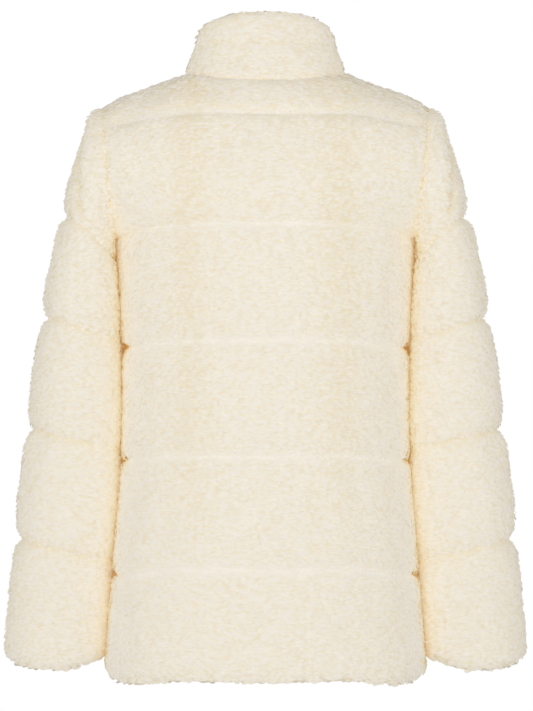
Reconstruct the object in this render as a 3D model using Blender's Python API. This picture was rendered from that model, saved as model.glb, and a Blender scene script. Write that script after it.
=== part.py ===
"""Sherpa puffer jacket, filled out to its worn shape and hollow inside.

The origin is in the middle of the neck, level with the tops of the shoulders. +Z is up, the back
of the jacket faces +Y and its left side is +X. Tables and sizes are in millimetres, and each mesh
is made in metres. A wall runs from its plain inside to the tips of the pile on its outside.
"""

import math
from collections import namedtuple

import bpy
import numpy as np

METRES = 0.001

# Cloth
SEAM_GAP = 0.3
PRESSED_WALL = 10.5  # backing and the pile that closes over a seam or a quilting line
BODY_PUFF = 4.5  # what the filling adds between the quilting lines of the body
SLEEVE_PUFF = 6.5
COLLAR_PUFF = 3.5
CREASE_SHARPNESS = 5  # higher makes the crease along a quilting line narrower
EDGE_SHARPNESS = 9  # the same towards a hem or a cuff, which turn in over a short way
TIER_STEPS = (0.0, 0.1, 0.35, 0.65, 0.9)  # rows of points in one quilted tier
EDGE_TIER_STEPS = (0.0, 0.035, 0.1, 0.35, 0.65, 0.9)  # the same from a hem or a cuff
EDGE_THINNER = 3.5  # the wall is this much thinner at a hem, a cuff or the collar's top
EDGE_SPAN = 0.09  # share of a tier over which the wall rounds in to that edge
CONTACT_FILL = 0.72  # creases are this much shallower where a sleeve lies against the side
CONTACT_COLUMNS = 4.0  # over this many columns of the body beside the side seam
ARMHOLE_EDGE_PUFF = 0.75  # share of the puff beside the armhole seam
FRONT_EDGE_PUFF = 0.35  # share of the puff along the centre front edges
YOKE_PUFF = 0.8  # share of the puff above the top quilting line of the back
YOKE_PINCH = -0.8  # the top quilting line pulls in deeper than the pressed wall
UNEVEN_PUFF = 0.08  # the filling is this much fuller or flatter from place to place
LEAST_LEAN = 0.75  # keeps the wall from growing too thick where its direction leans over

# Armhole, on the inside of the wall
UNDERARM_X = 171.0
UNDERARM_Z = -166.0
SHOULDER_X = 185.0
SHOULDER_Z = -37.0
ARMHOLE_BACK = 72.0
ARMHOLE_FRONT = 76.0
ARMHOLE_DEGREES = (-90, -73, -57, -41, -25, -9, 7, 23, 37, 45, 54, 71, 90)  # under the arm to shoulder
YOKE_STEP = 9  # the top quilting line of the back meets the armhole here
ARMPIT_OUT = 16.0  # the side turns out to the armhole under the arm
ARMPIT_TOP = 10.0  # degrees round the armhole where this turning out ends
ARMPIT_SPAN = 60.0
TURN_OUT_FROM = 0.72  # share of the way to the armhole where it starts
CHEST_TURN = 58.0  # degrees a row bends round from the middle to the armhole
SIDE_TURN = 90.0  # the same to the side seam
SHOULDER_ROUNDING = (0.45, 0.85, 0.3)  # at the neck, more by mid shoulder, less by the armhole

# Neck, on the inside of the wall
NECK_HALF_WIDTH = 84.0
NECK_BACK = 70.0
NECK_FRONT = 84.0
NECK_SIDE_Z = 1.3
NECK_BACK_Z = -6.0
NECK_FRONT_Z = -72.0
NECK_RISE = (25.0, 38.0, 18.0)  # degrees the seam's mitre rises at the back, side and front
NECK_STEPS = 7  # points in a quarter of the neck
SHOULDER_STEPS = 6  # points from the neck to the shoulder
ZIP_EDGE_X = 6.5  # centre front edges stand this far from the middle

# Collar
COLLAR_HALF_WIDTH = 63.5
COLLAR_BACK = 50.0
COLLAR_FRONT = 62.0
COLLAR_BACK_Z = 76.0
COLLAR_SIDE_Z = 60.0
COLLAR_STEPS = (0.0, 0.12, 0.38, 0.68, 0.9, 0.965, 1.0)
COLLAR_LEAN = 0.7  # below 1 bends the collar in above the seam

# Plan shape of the body
ROUNDNESS = 2 / 2.3
LEVEL_HALF_WIDTH = 80.0  # quilting lines run level this far from the middle, then drop to the side

# Lines round the body, inside of the wall: middle of the back and of the front, and the side seam
BodyLine = namedtuple("BodyLine", "name back_z back_y front_z front_y side_x side_z")
BODY_LINES = (
    BodyLine("hem", -674.0, 116.0, -674.0, -114.0, 169.5, -682.5),
    BodyLine("hip", -550.0, 115.0, -550.0, -114.0, 160.5, -561.0),
    BodyLine("waist", -424.0, 112.0, -424.0, -113.0, 150.5, -430.0),
    BodyLine("ribs", -295.0, 110.0, -295.0, -114.0, 149.5, -302.0),
    BodyLine("chest", -165.0, 114.0, -165.0, -117.0, 156.0, -166.0),
)

# Middle of the back and of the front above the chest line, by share of the way up the armhole
UpperPoint = namedtuple("UpperPoint", "share z y")
UPPER_BACK = (
    UpperPoint(0.0, -165.0, 114.0),
    UpperPoint(0.38, -102.0, 112.0),
    UpperPoint(0.75, -42.0, 94.0),
)
UPPER_FRONT = (
    UpperPoint(0.0, -165.0, -117.0),
    UpperPoint(0.38, -128.0, -112.0),
    UpperPoint(0.75, -92.0, -97.0),
)

# Rings of the sleeve, inside of the wall: outer and inner point, half depth, and how far forward
SleeveRing = namedtuple("SleeveRing", "name outer_x outer_z inner_x inner_z half_depth forward drop")
SLEEVE_CAP = (
    SleeveRing("cap_1", 188.0, -46.5, 177.0, -167.5, 74.0, 1.5, 1.0),
    SleeveRing("cap_2", 191.5, -61.0, 182.5, -172.5, 74.0, 1.5, 1.15),
    SleeveRing("cap_3", 197.5, -82.0, 185.8, -180.0, 74.0, 1.0, 1.35),
    SleeveRing("cap_4", 205.0, -107.0, 185.2, -188.5, 73.0, 1.0, 1.6),
    SleeveRing("cap_5", 213.5, -133.0, 185.4, -197.0, 72.0, 0.5, 1.85),
)
SLEEVE_LINES = (
    SleeveRing("upper_arm", 218.5, -155.0, 186.8, -206.0, 71.0, 0.0, 2.0),
    SleeveRing("elbow", 241.5, -270.0, 182.2, -292.0, 63.0, 3.0, 1.3),
    SleeveRing("forearm", 258.5, -396.0, 181.6, -417.0, 55.0, 7.0, 1.1),
    SleeveRing("wrist", 273.0, -522.0, 190.3, -544.0, 49.0, 13.0, 1.0),
    SleeveRing("cuff", 286.5, -667.0, 200.8, -673.0, 44.0, 21.0, 1.0),
)
SLEEVE_FLATNESS = 0.86  # below 1 fills out the corners of a flattened tube
SLEEVE_CONTACT_FROM = 0.7  # share of the way round to the body where the creases fill
HEAD_FLAT = 0.45  # the sleeve head loses this share of its puff beside the body
HEAD_FOLD_DEPTH = 4.0
HEAD_FOLD_WIDTH = 13.0  # degrees round the sleeve
HEAD_FOLD_START = 18.0  # degrees round from the shoulder where the fold leaves the armhole
HEAD_FOLD_SWING = 62.0  # degrees it moves round on its way down

# Zip
TAPE_EDGE_X = 3.4
TAPE_COVERED = 13.0  # width of tape under the front
TAPE_THICKNESS = 0.9
TAPE_GAP = 0.4
TAPE_END_MARGIN = 10.0
LEAST_STATION = 3.0  # stations of a strip are at least this far from its ends
CHAIN_HALF_WIDTH = 2.9
CHAIN_HALF_THICKNESS = 1.2
BOX_LENGTH = 9.0
BOX_HALF_THICKNESS = 2.0
SLIDER_HALF_WIDTH = 5.0
SLIDER_HALF_LENGTH = 8.0
SLIDER_BELOW_TOP = 22.0
SLIDER_OVERLAP = 0.4  # how far the crown and the post run into the plates
PLATE_GAP = 0.35
PLATE_THICKNESS = 1.3
POST_HALF_WIDTH = 1.2
POST_LENGTH = 3.5
POST_INSET = 0.2
CROWN_HALF_WIDTH = 1.1
CROWN_HALF_LENGTH = 4.0
CROWN_WINDOW_HEIGHT = 1.75
CROWN_THICKNESS = 1.0
TAB_HALF_THICKNESS = 0.55
TAB_HALF_WIDTH = 3.4
TAB_EYE_HALF_WIDTH = 1.7
TAB_EYE_LENGTH = 5.5
TAB_LENGTH = 27.0
TAB_GRIP = 0.82  # share of the tab's length before its corners turn in
TAB_CORNER = 1.2
TAB_CORNER_WIDTH = 0.72
TAB_TIP_WIDTH = 0.3

PILE_COLOUR = (0.87, 0.79, 0.62, 1.0)
TAPE_COLOUR = (0.78, 0.70, 0.55, 1.0)
METAL_COLOUR = (0.72, 0.62, 0.42, 1.0)


def clear_scene():
    for thing in list(bpy.data.objects):
        bpy.data.objects.remove(thing, do_unlink=True)


def material(name, colour, roughness, metallic):
    finish = bpy.data.materials.new(name)
    finish.use_nodes = True
    shader = finish.node_tree.nodes["Principled BSDF"]
    shader.inputs["Base Color"].default_value = colour
    shader.inputs["Roughness"].default_value = roughness
    shader.inputs["Metallic"].default_value = metallic
    finish.diffuse_color = colour
    return finish


def eased(value):
    """0 to 1 with a soft start and end"""
    value = np.clip(value, 0.0, 1.0)
    return value * value * (3.0 - 2.0 * value)


def through(keys, values, at):
    """A smooth curve through the values"""
    keys = np.asarray(keys, float)
    values = np.asarray(values, float)
    slopes = np.gradient(values, keys)
    step = np.clip(np.searchsorted(keys, at, side="right") - 1, 0, len(keys) - 2)
    width = keys[step + 1] - keys[step]
    part = (at - keys[step]) / width
    square, cube = part**2, part**3
    return (
        (2 * cube - 3 * square + 1) * values[step]
        + (cube - 2 * square + part) * width * slopes[step]
        + (3 * square - 2 * cube) * values[step + 1]
        + (cube - square) * width * slopes[step + 1]
    )


def swell(share):
    """How far the filling stands out, 0 on a quilting line and 1 in the middle of a tier"""
    return 1.0 - abs(2.0 * share - 1.0) ** CREASE_SHARPNESS


def edge_swell(share):
    """The same in a tier that starts from a hem or a cuff"""
    sharpness = EDGE_SHARPNESS if share < 0.5 else CREASE_SHARPNESS
    return 1.0 - abs(2.0 * share - 1.0) ** sharpness


def rounded_edge(share):
    """How much thinner the wall is near a hem, a cuff or the collar's top"""
    return EDGE_THINNER * eased(1.0 - share / EDGE_SPAN)


def tier_levels(tiers):
    """Every row of the quilted tiers above a hem or a cuff: its level and its swell"""
    levels = list(EDGE_TIER_STEPS)
    swells = [edge_swell(step) for step in EDGE_TIER_STEPS]
    for tier in range(1, tiers):
        levels += [tier + step for step in TIER_STEPS]
        swells += [swell(step) for step in TIER_STEPS]
    return levels, swells


def unit(vectors):
    return vectors / np.linalg.norm(vectors, axis=-1, keepdims=True)


def grid_normals(points, closed=False):
    """Normals of a grid of points, rows by columns; the columns run round when it is closed"""
    if closed:
        across = np.roll(points, -1, axis=1) - np.roll(points, 1, axis=1)
    else:
        across = np.gradient(points, axis=1)
    along = np.gradient(points, axis=0)
    return unit(np.cross(across, along))


def wall_object(name, inside, outside, finish, closed=False):
    """One closed wall between an inside and an outside grid of points"""
    rows, columns = inside.shape[:2]
    points = np.concatenate([inside.reshape(-1, 3), outside.reshape(-1, 3)]) * METRES
    number = np.arange(rows * columns).reshape(rows, columns)
    beyond = rows * columns
    faces = []
    last = columns if closed else columns - 1
    for row in range(rows - 1):
        for column in range(last):
            following = (column + 1) % columns
            corners = (
                number[row, column],
                number[row, following],
                number[row + 1, following],
                number[row + 1, column],
            )
            faces.append([corner + beyond for corner in corners])
            faces.append(list(reversed(corners)))
    rims = [[number[0, c] for c in range(columns)], [number[-1, c] for c in reversed(range(columns))]]
    if closed:
        rims = [rim + rim[:1] for rim in rims]
    else:
        rims = [rims[0] + list(number[1:, -1]) + rims[1][1:] + list(number[-2::-1, 0])]
    # The shorter diagonal splits each rim face, so two walls split the twisted faces at their seam alike
    for rim in rims:
        for start, end in zip(rim, rim[1:]):
            one_way = np.linalg.norm(points[start] - points[end + beyond])
            other_way = np.linalg.norm(points[end] - points[start + beyond])
            if one_way < other_way:
                faces += [[start, end, end + beyond], [start, end + beyond, start + beyond]]
            else:
                faces += [[start, end, start + beyond], [end, end + beyond, start + beyond]]
    mesh = bpy.data.meshes.new(name)
    mesh.from_pydata(points.tolist(), [], [[int(corner) for corner in face] for face in faces])
    if signed_volume(mesh) < 0:
        mesh.flip_normals()
    mesh.shade_smooth()
    mesh.set_sharp_from_angle(angle=math.radians(60))
    mesh.materials.append(finish)
    thing = bpy.data.objects.new(name, mesh)
    bpy.context.collection.objects.link(thing)
    return thing


def signed_volume(mesh):
    mesh.calc_loop_triangles()
    total = 0.0
    for triangle in mesh.loop_triangles:
        first, second, third = (mesh.vertices[index].co for index in triangle.vertices)
        total += first.dot(second.cross(third))
    return total


# ---------------------------------------------------------------- armhole and neck


def armhole_angles():
    return np.radians(np.array(ARMHOLE_DEGREES, float))


def armhole_points(angles, half_depth):
    """Inside edge of the armhole, from under the arm (-90 degrees) to the shoulder (90)"""
    height = np.sin(angles)
    x = UNDERARM_X + (SHOULDER_X - UNDERARM_X) * (1.0 + height) / 2.0
    y = half_depth * np.cos(angles)
    z = (UNDERARM_Z + SHOULDER_Z) / 2.0 + (SHOULDER_Z - UNDERARM_Z) / 2.0 * height
    return np.stack([x, y, z], axis=-1)


def armhole_mitres(angles, facing):
    """Direction through the wall along the armhole seam, shared by the body and the sleeve"""
    return np.stack([np.zeros_like(angles), facing * np.cos(angles), np.sin(angles)], axis=-1)


def neck_points(turns):
    """Inside edge of the neck, from the middle of the back (0 degrees) to the front (180)"""
    forward = np.clip(-np.cos(turns), 0.0, 1.0)
    backward = np.clip(np.cos(turns), 0.0, 1.0)
    x = NECK_HALF_WIDTH * np.sin(turns)
    y = NECK_BACK * backward - NECK_FRONT * forward
    z = NECK_SIDE_Z
    z = z + (NECK_BACK_Z - NECK_SIDE_Z) * backward**2 + (NECK_FRONT_Z - NECK_SIDE_Z) * forward**1.5
    return np.stack([x, y, z], axis=-1)


def neck_mitres(turns):
    """Direction through the wall along the neck seam, shared by the body and the collar"""
    rise = np.radians(through((0, math.pi / 2, math.pi), NECK_RISE, turns))
    out = np.stack([np.sin(turns), np.cos(turns), np.zeros_like(turns)], axis=-1)
    up = np.array([0.0, 0.0, 1.0])
    return out * np.cos(rise)[..., None] + up * np.sin(rise)[..., None]


def neck_turns(facing):
    """Turns of the neck's points from centre back or centre front round to the shoulder seam"""
    start = 0.0 if facing > 0 else math.pi - math.asin(ZIP_EDGE_X / NECK_HALF_WIDTH)
    return np.linspace(start, math.pi / 2, NECK_STEPS + 1)


# ---------------------------------------------------------------- body


def bowed_row(centre, edge, spread, turn):
    """Points from the middle round to an edge; turn is how far round the row bends"""
    angle = spread * turn
    across = (np.sin(angle) / math.sin(turn)) ** ROUNDNESS
    left_over = max(math.cos(turn), 0.0) ** ROUNDNESS
    out = (np.clip(np.cos(angle), 0.0, 1.0) ** ROUNDNESS - left_over) / (1.0 - left_over)
    x = centre[0] + (edge[0] - centre[0]) * across
    y = edge[1] + (centre[1] - edge[1]) * out
    drop = eased((x - LEVEL_HALF_WIDTH) / (edge[0] - LEVEL_HALF_WIDTH))
    z = centre[2] + (edge[2] - centre[2]) * drop
    return np.stack([x, y, z], axis=-1)


def body_half(facing):
    """Inside points of half a back (facing 1) or of a front (facing -1), on the left side"""
    columns = NECK_STEPS + SHOULDER_STEPS
    spread = np.linspace(0.0, 1.0, columns + 1)
    middle_x = 0.0 if facing > 0 else ZIP_EDGE_X
    keys = range(len(BODY_LINES))
    levels, _ = tier_levels(len(BODY_LINES) - 1)
    middle_z = [line.back_z if facing > 0 else line.front_z for line in BODY_LINES]
    middle_y = [line.back_y if facing > 0 else line.front_y for line in BODY_LINES]
    rows = []
    for level in levels:
        centre = (middle_x, through(keys, middle_y, level), through(keys, middle_z, level))
        side_x = through(keys, [line.side_x for line in BODY_LINES], level)
        side_z = through(keys, [line.side_z for line in BODY_LINES], level)
        rows.append(bowed_row(centre, (side_x, 0.0, side_z), spread, math.pi / 2))

    angles = armhole_angles()
    half_depth = ARMHOLE_BACK if facing > 0 else -ARMHOLE_FRONT
    edge = armhole_points(angles, half_depth)
    armpit = eased((ARMPIT_TOP - np.degrees(angles)) / ARMPIT_SPAN)
    turns = np.radians(CHEST_TURN + (SIDE_TURN - CHEST_TURN) * eased(-angles / math.radians(90.0)))
    upper = UPPER_BACK if facing > 0 else UPPER_FRONT
    turned_out = np.clip((spread - TURN_OUT_FROM) / (1.0 - TURN_OUT_FROM), 0.0, 1.0) ** 2
    for step in range(YOKE_STEP + 1):
        share = (ARMHOLE_DEGREES[step] + 90.0) / 180.0
        heights = [point.share for point in upper]
        centre = (
            middle_x,
            through(heights, [point.y for point in upper], share),
            through(heights, [point.z for point in upper], share),
        )
        flare = np.array([armpit[step] * ARMPIT_OUT, 0.0, 0.0])
        row = bowed_row(centre, edge[step] - flare, spread, turns[step])
        rows.append(row + turned_out[:, None] * flare)

    lower = rows[-1]
    neck = neck_points(neck_turns(facing))
    ridge = np.linspace(neck[-1], edge[-1], SHOULDER_STEPS + 1)
    upper_row = np.concatenate([neck, ridge[1:]])
    for step in range(YOKE_STEP + 1, len(ARMHOLE_DEGREES)):
        share = yoke_share(step)
        straight = lower * (1.0 - share) + upper_row * share
        bulge = edge[step] - straight[-1]
        at_neck, by_middle, by_armhole = SHOULDER_ROUNDING
        rounding = at_neck + by_middle * eased(spread / 0.6) - by_armhole * eased((spread - 0.8) / 0.2)
        rows.append(straight + rounding[:, None] * bulge)
    return np.array(rows)


def yoke_share(step):
    """How far a step of the armhole lies from the yoke line, 0, to the shoulder, 1"""
    return (ARMHOLE_DEGREES[step] - ARMHOLE_DEGREES[YOKE_STEP]) / (90.0 - ARMHOLE_DEGREES[YOKE_STEP])


def body_swell(facing, columns):
    """Share of the full puff at each row and column of half a back or a front"""
    _, swells = tier_levels(len(BODY_LINES) - 1)
    for step, degrees in enumerate(ARMHOLE_DEGREES):
        if facing < 0:
            swells.append(swell((degrees + 90.0) / 180.0))
        elif step < YOKE_STEP:
            swells.append(swell((degrees + 90.0) / (ARMHOLE_DEGREES[YOKE_STEP] + 90.0)))
        elif step == YOKE_STEP:
            swells.append(YOKE_PINCH)
        else:
            swells.append(YOKE_PUFF * swell(yoke_share(step)))
    swells = np.array(swells)[:, None] * np.ones(columns)
    contact = eased((np.arange(columns) - columns + CONTACT_COLUMNS) / (CONTACT_COLUMNS / 2.0))
    side_rows = len(swells) - len(ARMHOLE_DEGREES)
    filled = 1.0 - (1.0 - swells) * (1.0 - CONTACT_FILL * contact)
    swells[1:side_rows] = filled[1:side_rows]
    across = np.arange(columns)
    uneven = 1.0 + UNEVEN_PUFF * (np.sin(1.9 * across + 0.7) + np.sin(0.8 * across + 2.1))
    return swells * uneven[None, :]


def body_wall(facing):
    """Inside and outside points of half a back or a front, on the left side"""
    inside = body_half(facing)
    rows, columns = inside.shape[:2]
    normals = grid_normals(inside)
    if normals[0, 0, 1] * facing < 0:
        normals = -normals
    side_rows = rows - len(ARMHOLE_DEGREES)
    true_normals = normals.copy()

    angles = armhole_angles()
    mitres = armhole_mitres(angles, facing)
    normals[side_rows:, -2] = unit(0.5 * mitres + normals[side_rows:, -2])
    normals[:side_rows, -1, 1] = 0.0
    normals[side_rows:, -1] = mitres
    normals[0, :, 2] = 0.0
    normals[-1, NECK_STEPS:, 1] = 0.0
    turns = neck_turns(facing)
    normals[-1, : NECK_STEPS + 1] = neck_mitres(turns)
    normals[:, 0, 0] = 0.0
    normals = unit(normals)

    lean = np.clip(np.sum(normals * true_normals, axis=-1), LEAST_LEAN, 1.0)
    lean[side_rows:, -1] = 1.0
    lean[-1, : NECK_STEPS + 1] = 1.0
    puff = BODY_PUFF * body_swell(facing, columns)
    edge_fade = np.ones((rows, columns))
    edge_fade[side_rows:, -1] = 0.0
    edge_fade[side_rows:, -2] = ARMHOLE_EDGE_PUFF
    edge_fade[-1, :] = 0.0
    if facing < 0:
        edge_fade[:, 0] = FRONT_EDGE_PUFF
    thickness = PRESSED_WALL + puff * edge_fade
    thickness[: len(EDGE_TIER_STEPS)] -= rounded_edge(np.array(EDGE_TIER_STEPS))[:, None]
    outside = inside + normals * (thickness / lean)[..., None]

    half_gap = SEAM_GAP / 2.0
    for grid in (inside, outside):
        grid[:, -1, 1] += np.where(np.arange(rows) <= side_rows, facing * half_gap, 0.0)
        grid[side_rows:, -1, 0] -= half_gap
        grid[-1, NECK_STEPS:, 1] += facing * half_gap
        out = np.stack([np.sin(turns), np.cos(turns), np.zeros_like(turns)], axis=-1)
        mitre = neck_mitres(turns)
        below = out * mitre[:, 2:] - np.array([0.0, 0.0, 1.0]) * np.sum(out * mitre, axis=1)[:, None]
        grid[-1, : NECK_STEPS + 1] += half_gap * below
    return inside, outside


def mirrored(grid):
    return grid * np.array([-1.0, 1.0, 1.0])


def make_body(finish):
    inside, outside = body_wall(1)
    whole = [np.concatenate([mirrored(grid)[:, :0:-1], grid], axis=1) for grid in (inside, outside)]
    wall_object("back", whole[0], whole[1], finish)
    inside, outside = body_wall(-1)
    wall_object("front_left", inside, outside, finish)
    wall_object("front_right", mirrored(inside), mirrored(outside), finish)
    return inside


# ---------------------------------------------------------------- sleeves


def sleeve_ring_values():
    """The sleeve's rings below the armhole, and each one's share of the full puff"""
    rings = list(SLEEVE_CAP)
    cap_steps = len(SLEEVE_CAP) + 1
    swells = [swell(step / cap_steps) for step in range(1, cap_steps)]
    last = len(SLEEVE_LINES) - 1
    keys = range(len(SLEEVE_LINES))
    columns = np.array([line[1:] for line in SLEEVE_LINES])
    levels, level_swells = tier_levels(last)
    for level, puffed in reversed(list(zip(levels + [last], level_swells + [0.0]))):
        values = [float(through(keys, values, last - level)) for values in columns.T]
        rings.append(SleeveRing("between", *values))
        swells.append(puffed)
    return rings, swells


def sleeve_wall():
    """Inside and outside points of the left sleeve, armhole first"""
    half_turns = math.pi / 2 - armhole_angles()[::-1]
    turns = np.concatenate([half_turns, 2.0 * math.pi - half_turns[-2:0:-1]])
    toward_body = (1.0 - np.cos(turns)) / 2.0
    angles = math.pi / 2 - np.where(turns <= math.pi, turns, 2.0 * math.pi - turns)
    facing = np.where(turns <= math.pi, 1.0, -1.0)
    half_depths = np.where(turns <= math.pi, ARMHOLE_BACK, -ARMHOLE_FRONT)
    rows = [armhole_points(angles, half_depths)]
    rings, swells = sleeve_ring_values()
    for ring in rings:
        x = ring.outer_x + (ring.inner_x - ring.outer_x) * toward_body
        z = ring.outer_z + (ring.inner_z - ring.outer_z) * toward_body**ring.drop
        y = ring.half_depth * np.sign(np.sin(turns)) * np.abs(np.sin(turns)) ** SLEEVE_FLATNESS
        rows.append(np.stack([x, y - ring.forward, z], axis=-1))
    inside = np.array(rows)

    normals = grid_normals(inside, closed=True)
    if normals[len(rows) // 2, 0, 0] < 0:
        normals = -normals
    true_normals = normals.copy()
    mitres = armhole_mitres(angles, facing)
    normals[0] = mitres
    normals[1] = unit(normals[1] + 0.5 * mitres)
    normals[-1, :, 2] = 0.0
    normals = unit(normals)
    lean = np.clip(np.sum(normals * true_normals, axis=-1), LEAST_LEAN, 1.0)

    puff = np.array([0.0] + swells)[:, None] * np.ones(len(turns))
    contact = CONTACT_FILL * eased((toward_body - SLEEVE_CONTACT_FROM) / (1.0 - SLEEVE_CONTACT_FROM))
    cap_rows = len(SLEEVE_CAP) + 1
    filled = 1.0 - (1.0 - puff) * (1.0 - contact)
    puff[cap_rows:-1] = filled[cap_rows:-1]
    uneven = 1.0 + UNEVEN_PUFF * (np.sin(2.0 * turns + 0.6) + np.sin(3.0 * turns + 1.7))
    puff = SLEEVE_PUFF * puff * uneven[None, :]
    puff[:cap_rows] *= 1.0 - HEAD_FLAT * eased((toward_body - 0.45) / 0.4)[None, :]
    fold_steps = np.linspace(0.0, 1.0, cap_rows + 1)
    fold_at = np.radians(HEAD_FOLD_START + HEAD_FOLD_SWING * fold_steps)
    fold_depth = HEAD_FOLD_DEPTH * np.sin(np.pi * np.clip(fold_steps * 0.9 + 0.1, 0.0, 1.0)) ** 0.5
    for mirror_sign in (1.0, -1.0):
        away = (mirror_sign * turns[None, :] - fold_at[:, None] + np.pi) % (2 * np.pi) - np.pi
        trough = np.exp(-((away / math.radians(HEAD_FOLD_WIDTH)) ** 2))
        puff[: cap_rows + 1] -= fold_depth[:, None] * trough
    thickness = PRESSED_WALL + puff
    thickness[-len(EDGE_TIER_STEPS) :] -= rounded_edge(np.array(EDGE_TIER_STEPS[::-1]))[:, None]
    thickness /= lean
    thickness[0] = PRESSED_WALL
    outside = inside + normals * thickness[..., None]
    for grid in (inside, outside):
        grid[0, :, 0] += SEAM_GAP / 2.0
    return inside, outside


def make_sleeves(finish):
    inside, outside = sleeve_wall()
    wall_object("sleeve_left", inside, outside, finish, closed=True)
    wall_object("sleeve_right", mirrored(inside), mirrored(outside), finish, closed=True)


# ---------------------------------------------------------------- collar


def collar_wall():
    """Inside and outside points of the collar, from centre front left round the back"""
    front = neck_turns(-1)
    back = neck_turns(1)[::-1][1:]
    left = np.concatenate([front, back])
    turns = np.concatenate([left, -left[-2::-1]])
    side = np.where(turns < 0, -1.0, 1.0)
    low = neck_points(np.abs(turns)) * np.stack([side, np.ones_like(side), np.ones_like(side)], axis=-1)
    forward = np.clip(-np.cos(turns), 0.0, 1.0)
    backward = np.clip(np.cos(turns), 0.0, 1.0)
    top_x = COLLAR_HALF_WIDTH * np.sin(turns)
    top_x[0], top_x[-1] = ZIP_EDGE_X, -ZIP_EDGE_X
    top_y = COLLAR_BACK * backward - COLLAR_FRONT * forward
    top_z = COLLAR_BACK_Z - (COLLAR_BACK_Z - COLLAR_SIDE_Z) * (1.0 - np.cos(turns)) ** 1.3
    high = np.stack([top_x, top_y, top_z], axis=-1)
    rows = []
    for step in COLLAR_STEPS:
        level = low * (1.0 - step) + high * step
        lean_in = step**COLLAR_LEAN - step
        level[:, :2] += (high - low)[:, :2] * lean_in
        rows.append(level)
    inside = np.array(rows)

    normals = grid_normals(inside)
    middle = len(turns) // 2
    if normals[2, middle, 1] < 0:
        normals = -normals
    true_normals = normals.copy()
    mitres = neck_mitres(np.abs(turns))
    mitres[:, 0] *= side
    normals[0] = mitres
    normals[:, 0, 0] = 0.0
    normals[:, -1, 0] = 0.0
    normals = unit(normals)
    lean = np.clip(np.sum(normals * true_normals, axis=-1), LEAST_LEAN, 1.0)
    lean[0] = 1.0
    swells = np.array([edge_swell(1.0 - step) for step in COLLAR_STEPS])
    puff = COLLAR_PUFF * swells[:, None] * np.ones(len(turns))
    puff[:, 0] *= FRONT_EDGE_PUFF
    puff[:, -1] *= FRONT_EDGE_PUFF
    thickness = PRESSED_WALL + puff - rounded_edge(1.0 - np.array(COLLAR_STEPS))[:, None]
    outside = inside + normals * (thickness / lean)[..., None]
    out = np.stack([np.sin(turns), np.cos(turns), np.zeros_like(turns)], axis=-1)
    below = out * mitres[:, 2:] - np.array([0.0, 0.0, 1.0]) * np.sum(out * mitres, axis=1)[:, None]
    for grid in (inside, outside):
        grid[0] -= SEAM_GAP / 2.0 * below
    return inside, outside


def make_collar(finish):
    inside, outside = collar_wall()
    wall_object("collar", inside, outside, finish)
    return inside


# ---------------------------------------------------------------- zip


def zip_path(front_inside, collar_inside):
    """Inside points at the left centre front edge and at the next column, from hem to collar top"""
    edge = np.concatenate([front_inside[:, 0], collar_inside[1:, 0]])
    next_column = np.concatenate([front_inside[:, 1], collar_inside[1:, 1]])
    edge[:, 0] = ZIP_EDGE_X
    lengths = np.concatenate([[0.0], np.cumsum(np.linalg.norm(np.diff(edge, axis=0), axis=1))])
    return edge, next_column, lengths


def along_path(points, lengths, at):
    return np.stack([np.interp(at, lengths, points[:, axis]) for axis in range(3)], axis=-1)


def stations_between(lengths, start, end):
    """Distances along the zip of a strip's ends and of the path's own points between them"""
    inner = lengths[(lengths > start + LEAST_STATION) & (lengths < end - LEAST_STATION)]
    return np.concatenate([[start], inner, [end]])


def path_outward(points):
    """Outward offsets of a path at centre front, longer at a bend so that the strip keeps its thickness"""
    legs = np.diff(points, axis=0)
    legs[:, 0] = 0.0
    legs = unit(legs)
    before = np.concatenate([legs[:1], legs])
    after = np.concatenate([legs, legs[-1:]])
    along = unit(before + after)
    stretch = 1.0 / np.sum(along * after, axis=1)
    outward = np.stack([np.zeros(len(along)), -along[:, 2], along[:, 1]], axis=-1)
    return outward * stretch[:, None]


def strip_object(name, across_points, outward, low, high, finish):
    """A flat strip: a grid of points across it, thick from low to high along outward"""
    inside = across_points + outward[:, None] * low
    outside = across_points + outward[:, None] * high
    wall_object(name, inside, outside, finish)


def make_zip_strips(edge, next_column, lengths, cloth, metal):
    start = TAPE_END_MARGIN
    end = lengths[-1] - TAPE_END_MARGIN / 2.0
    stations = stations_between(lengths, start, end)
    at_edge = along_path(edge, lengths, stations)
    beside = along_path(next_column, lengths, stations)
    outward = path_outward(at_edge)
    reach = TAPE_COVERED / (beside[:, :1] - ZIP_EDGE_X)
    covered = at_edge + (beside - at_edge) * reach
    free = at_edge.copy()
    free[:, 0] = TAPE_EDGE_X
    across = np.stack([free, at_edge, covered], axis=1)
    outer, depth = -TAPE_GAP, -TAPE_GAP - TAPE_THICKNESS
    strip_object("zip_tape_left", across, outward, depth, outer, cloth)
    strip_object("zip_tape_right", mirrored(across), outward, depth, outer, cloth)

    plane = (outer + depth) / 2.0
    slider_at = lengths[-1] - SLIDER_BELOW_TOP
    chain_end = slider_at + SLIDER_HALF_LENGTH - POST_LENGTH - SEAM_GAP
    chain_start = start + BOX_LENGTH + SEAM_GAP
    for name, stations, half_thickness in (
        ("zip_chain", stations_between(lengths, chain_start, chain_end), CHAIN_HALF_THICKNESS),
        ("zip_box", np.array([start, start + BOX_LENGTH]), BOX_HALF_THICKNESS),
    ):
        at_edge = along_path(edge, lengths, stations)
        left, right = at_edge.copy(), at_edge.copy()
        left[:, 0], right[:, 0] = CHAIN_HALF_WIDTH, -CHAIN_HALF_WIDTH
        across = np.stack([right, left], axis=1)
        outward = path_outward(at_edge)
        strip_object(name, across, outward, plane - half_thickness, plane + half_thickness, metal)
    return slider_at, plane


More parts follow.
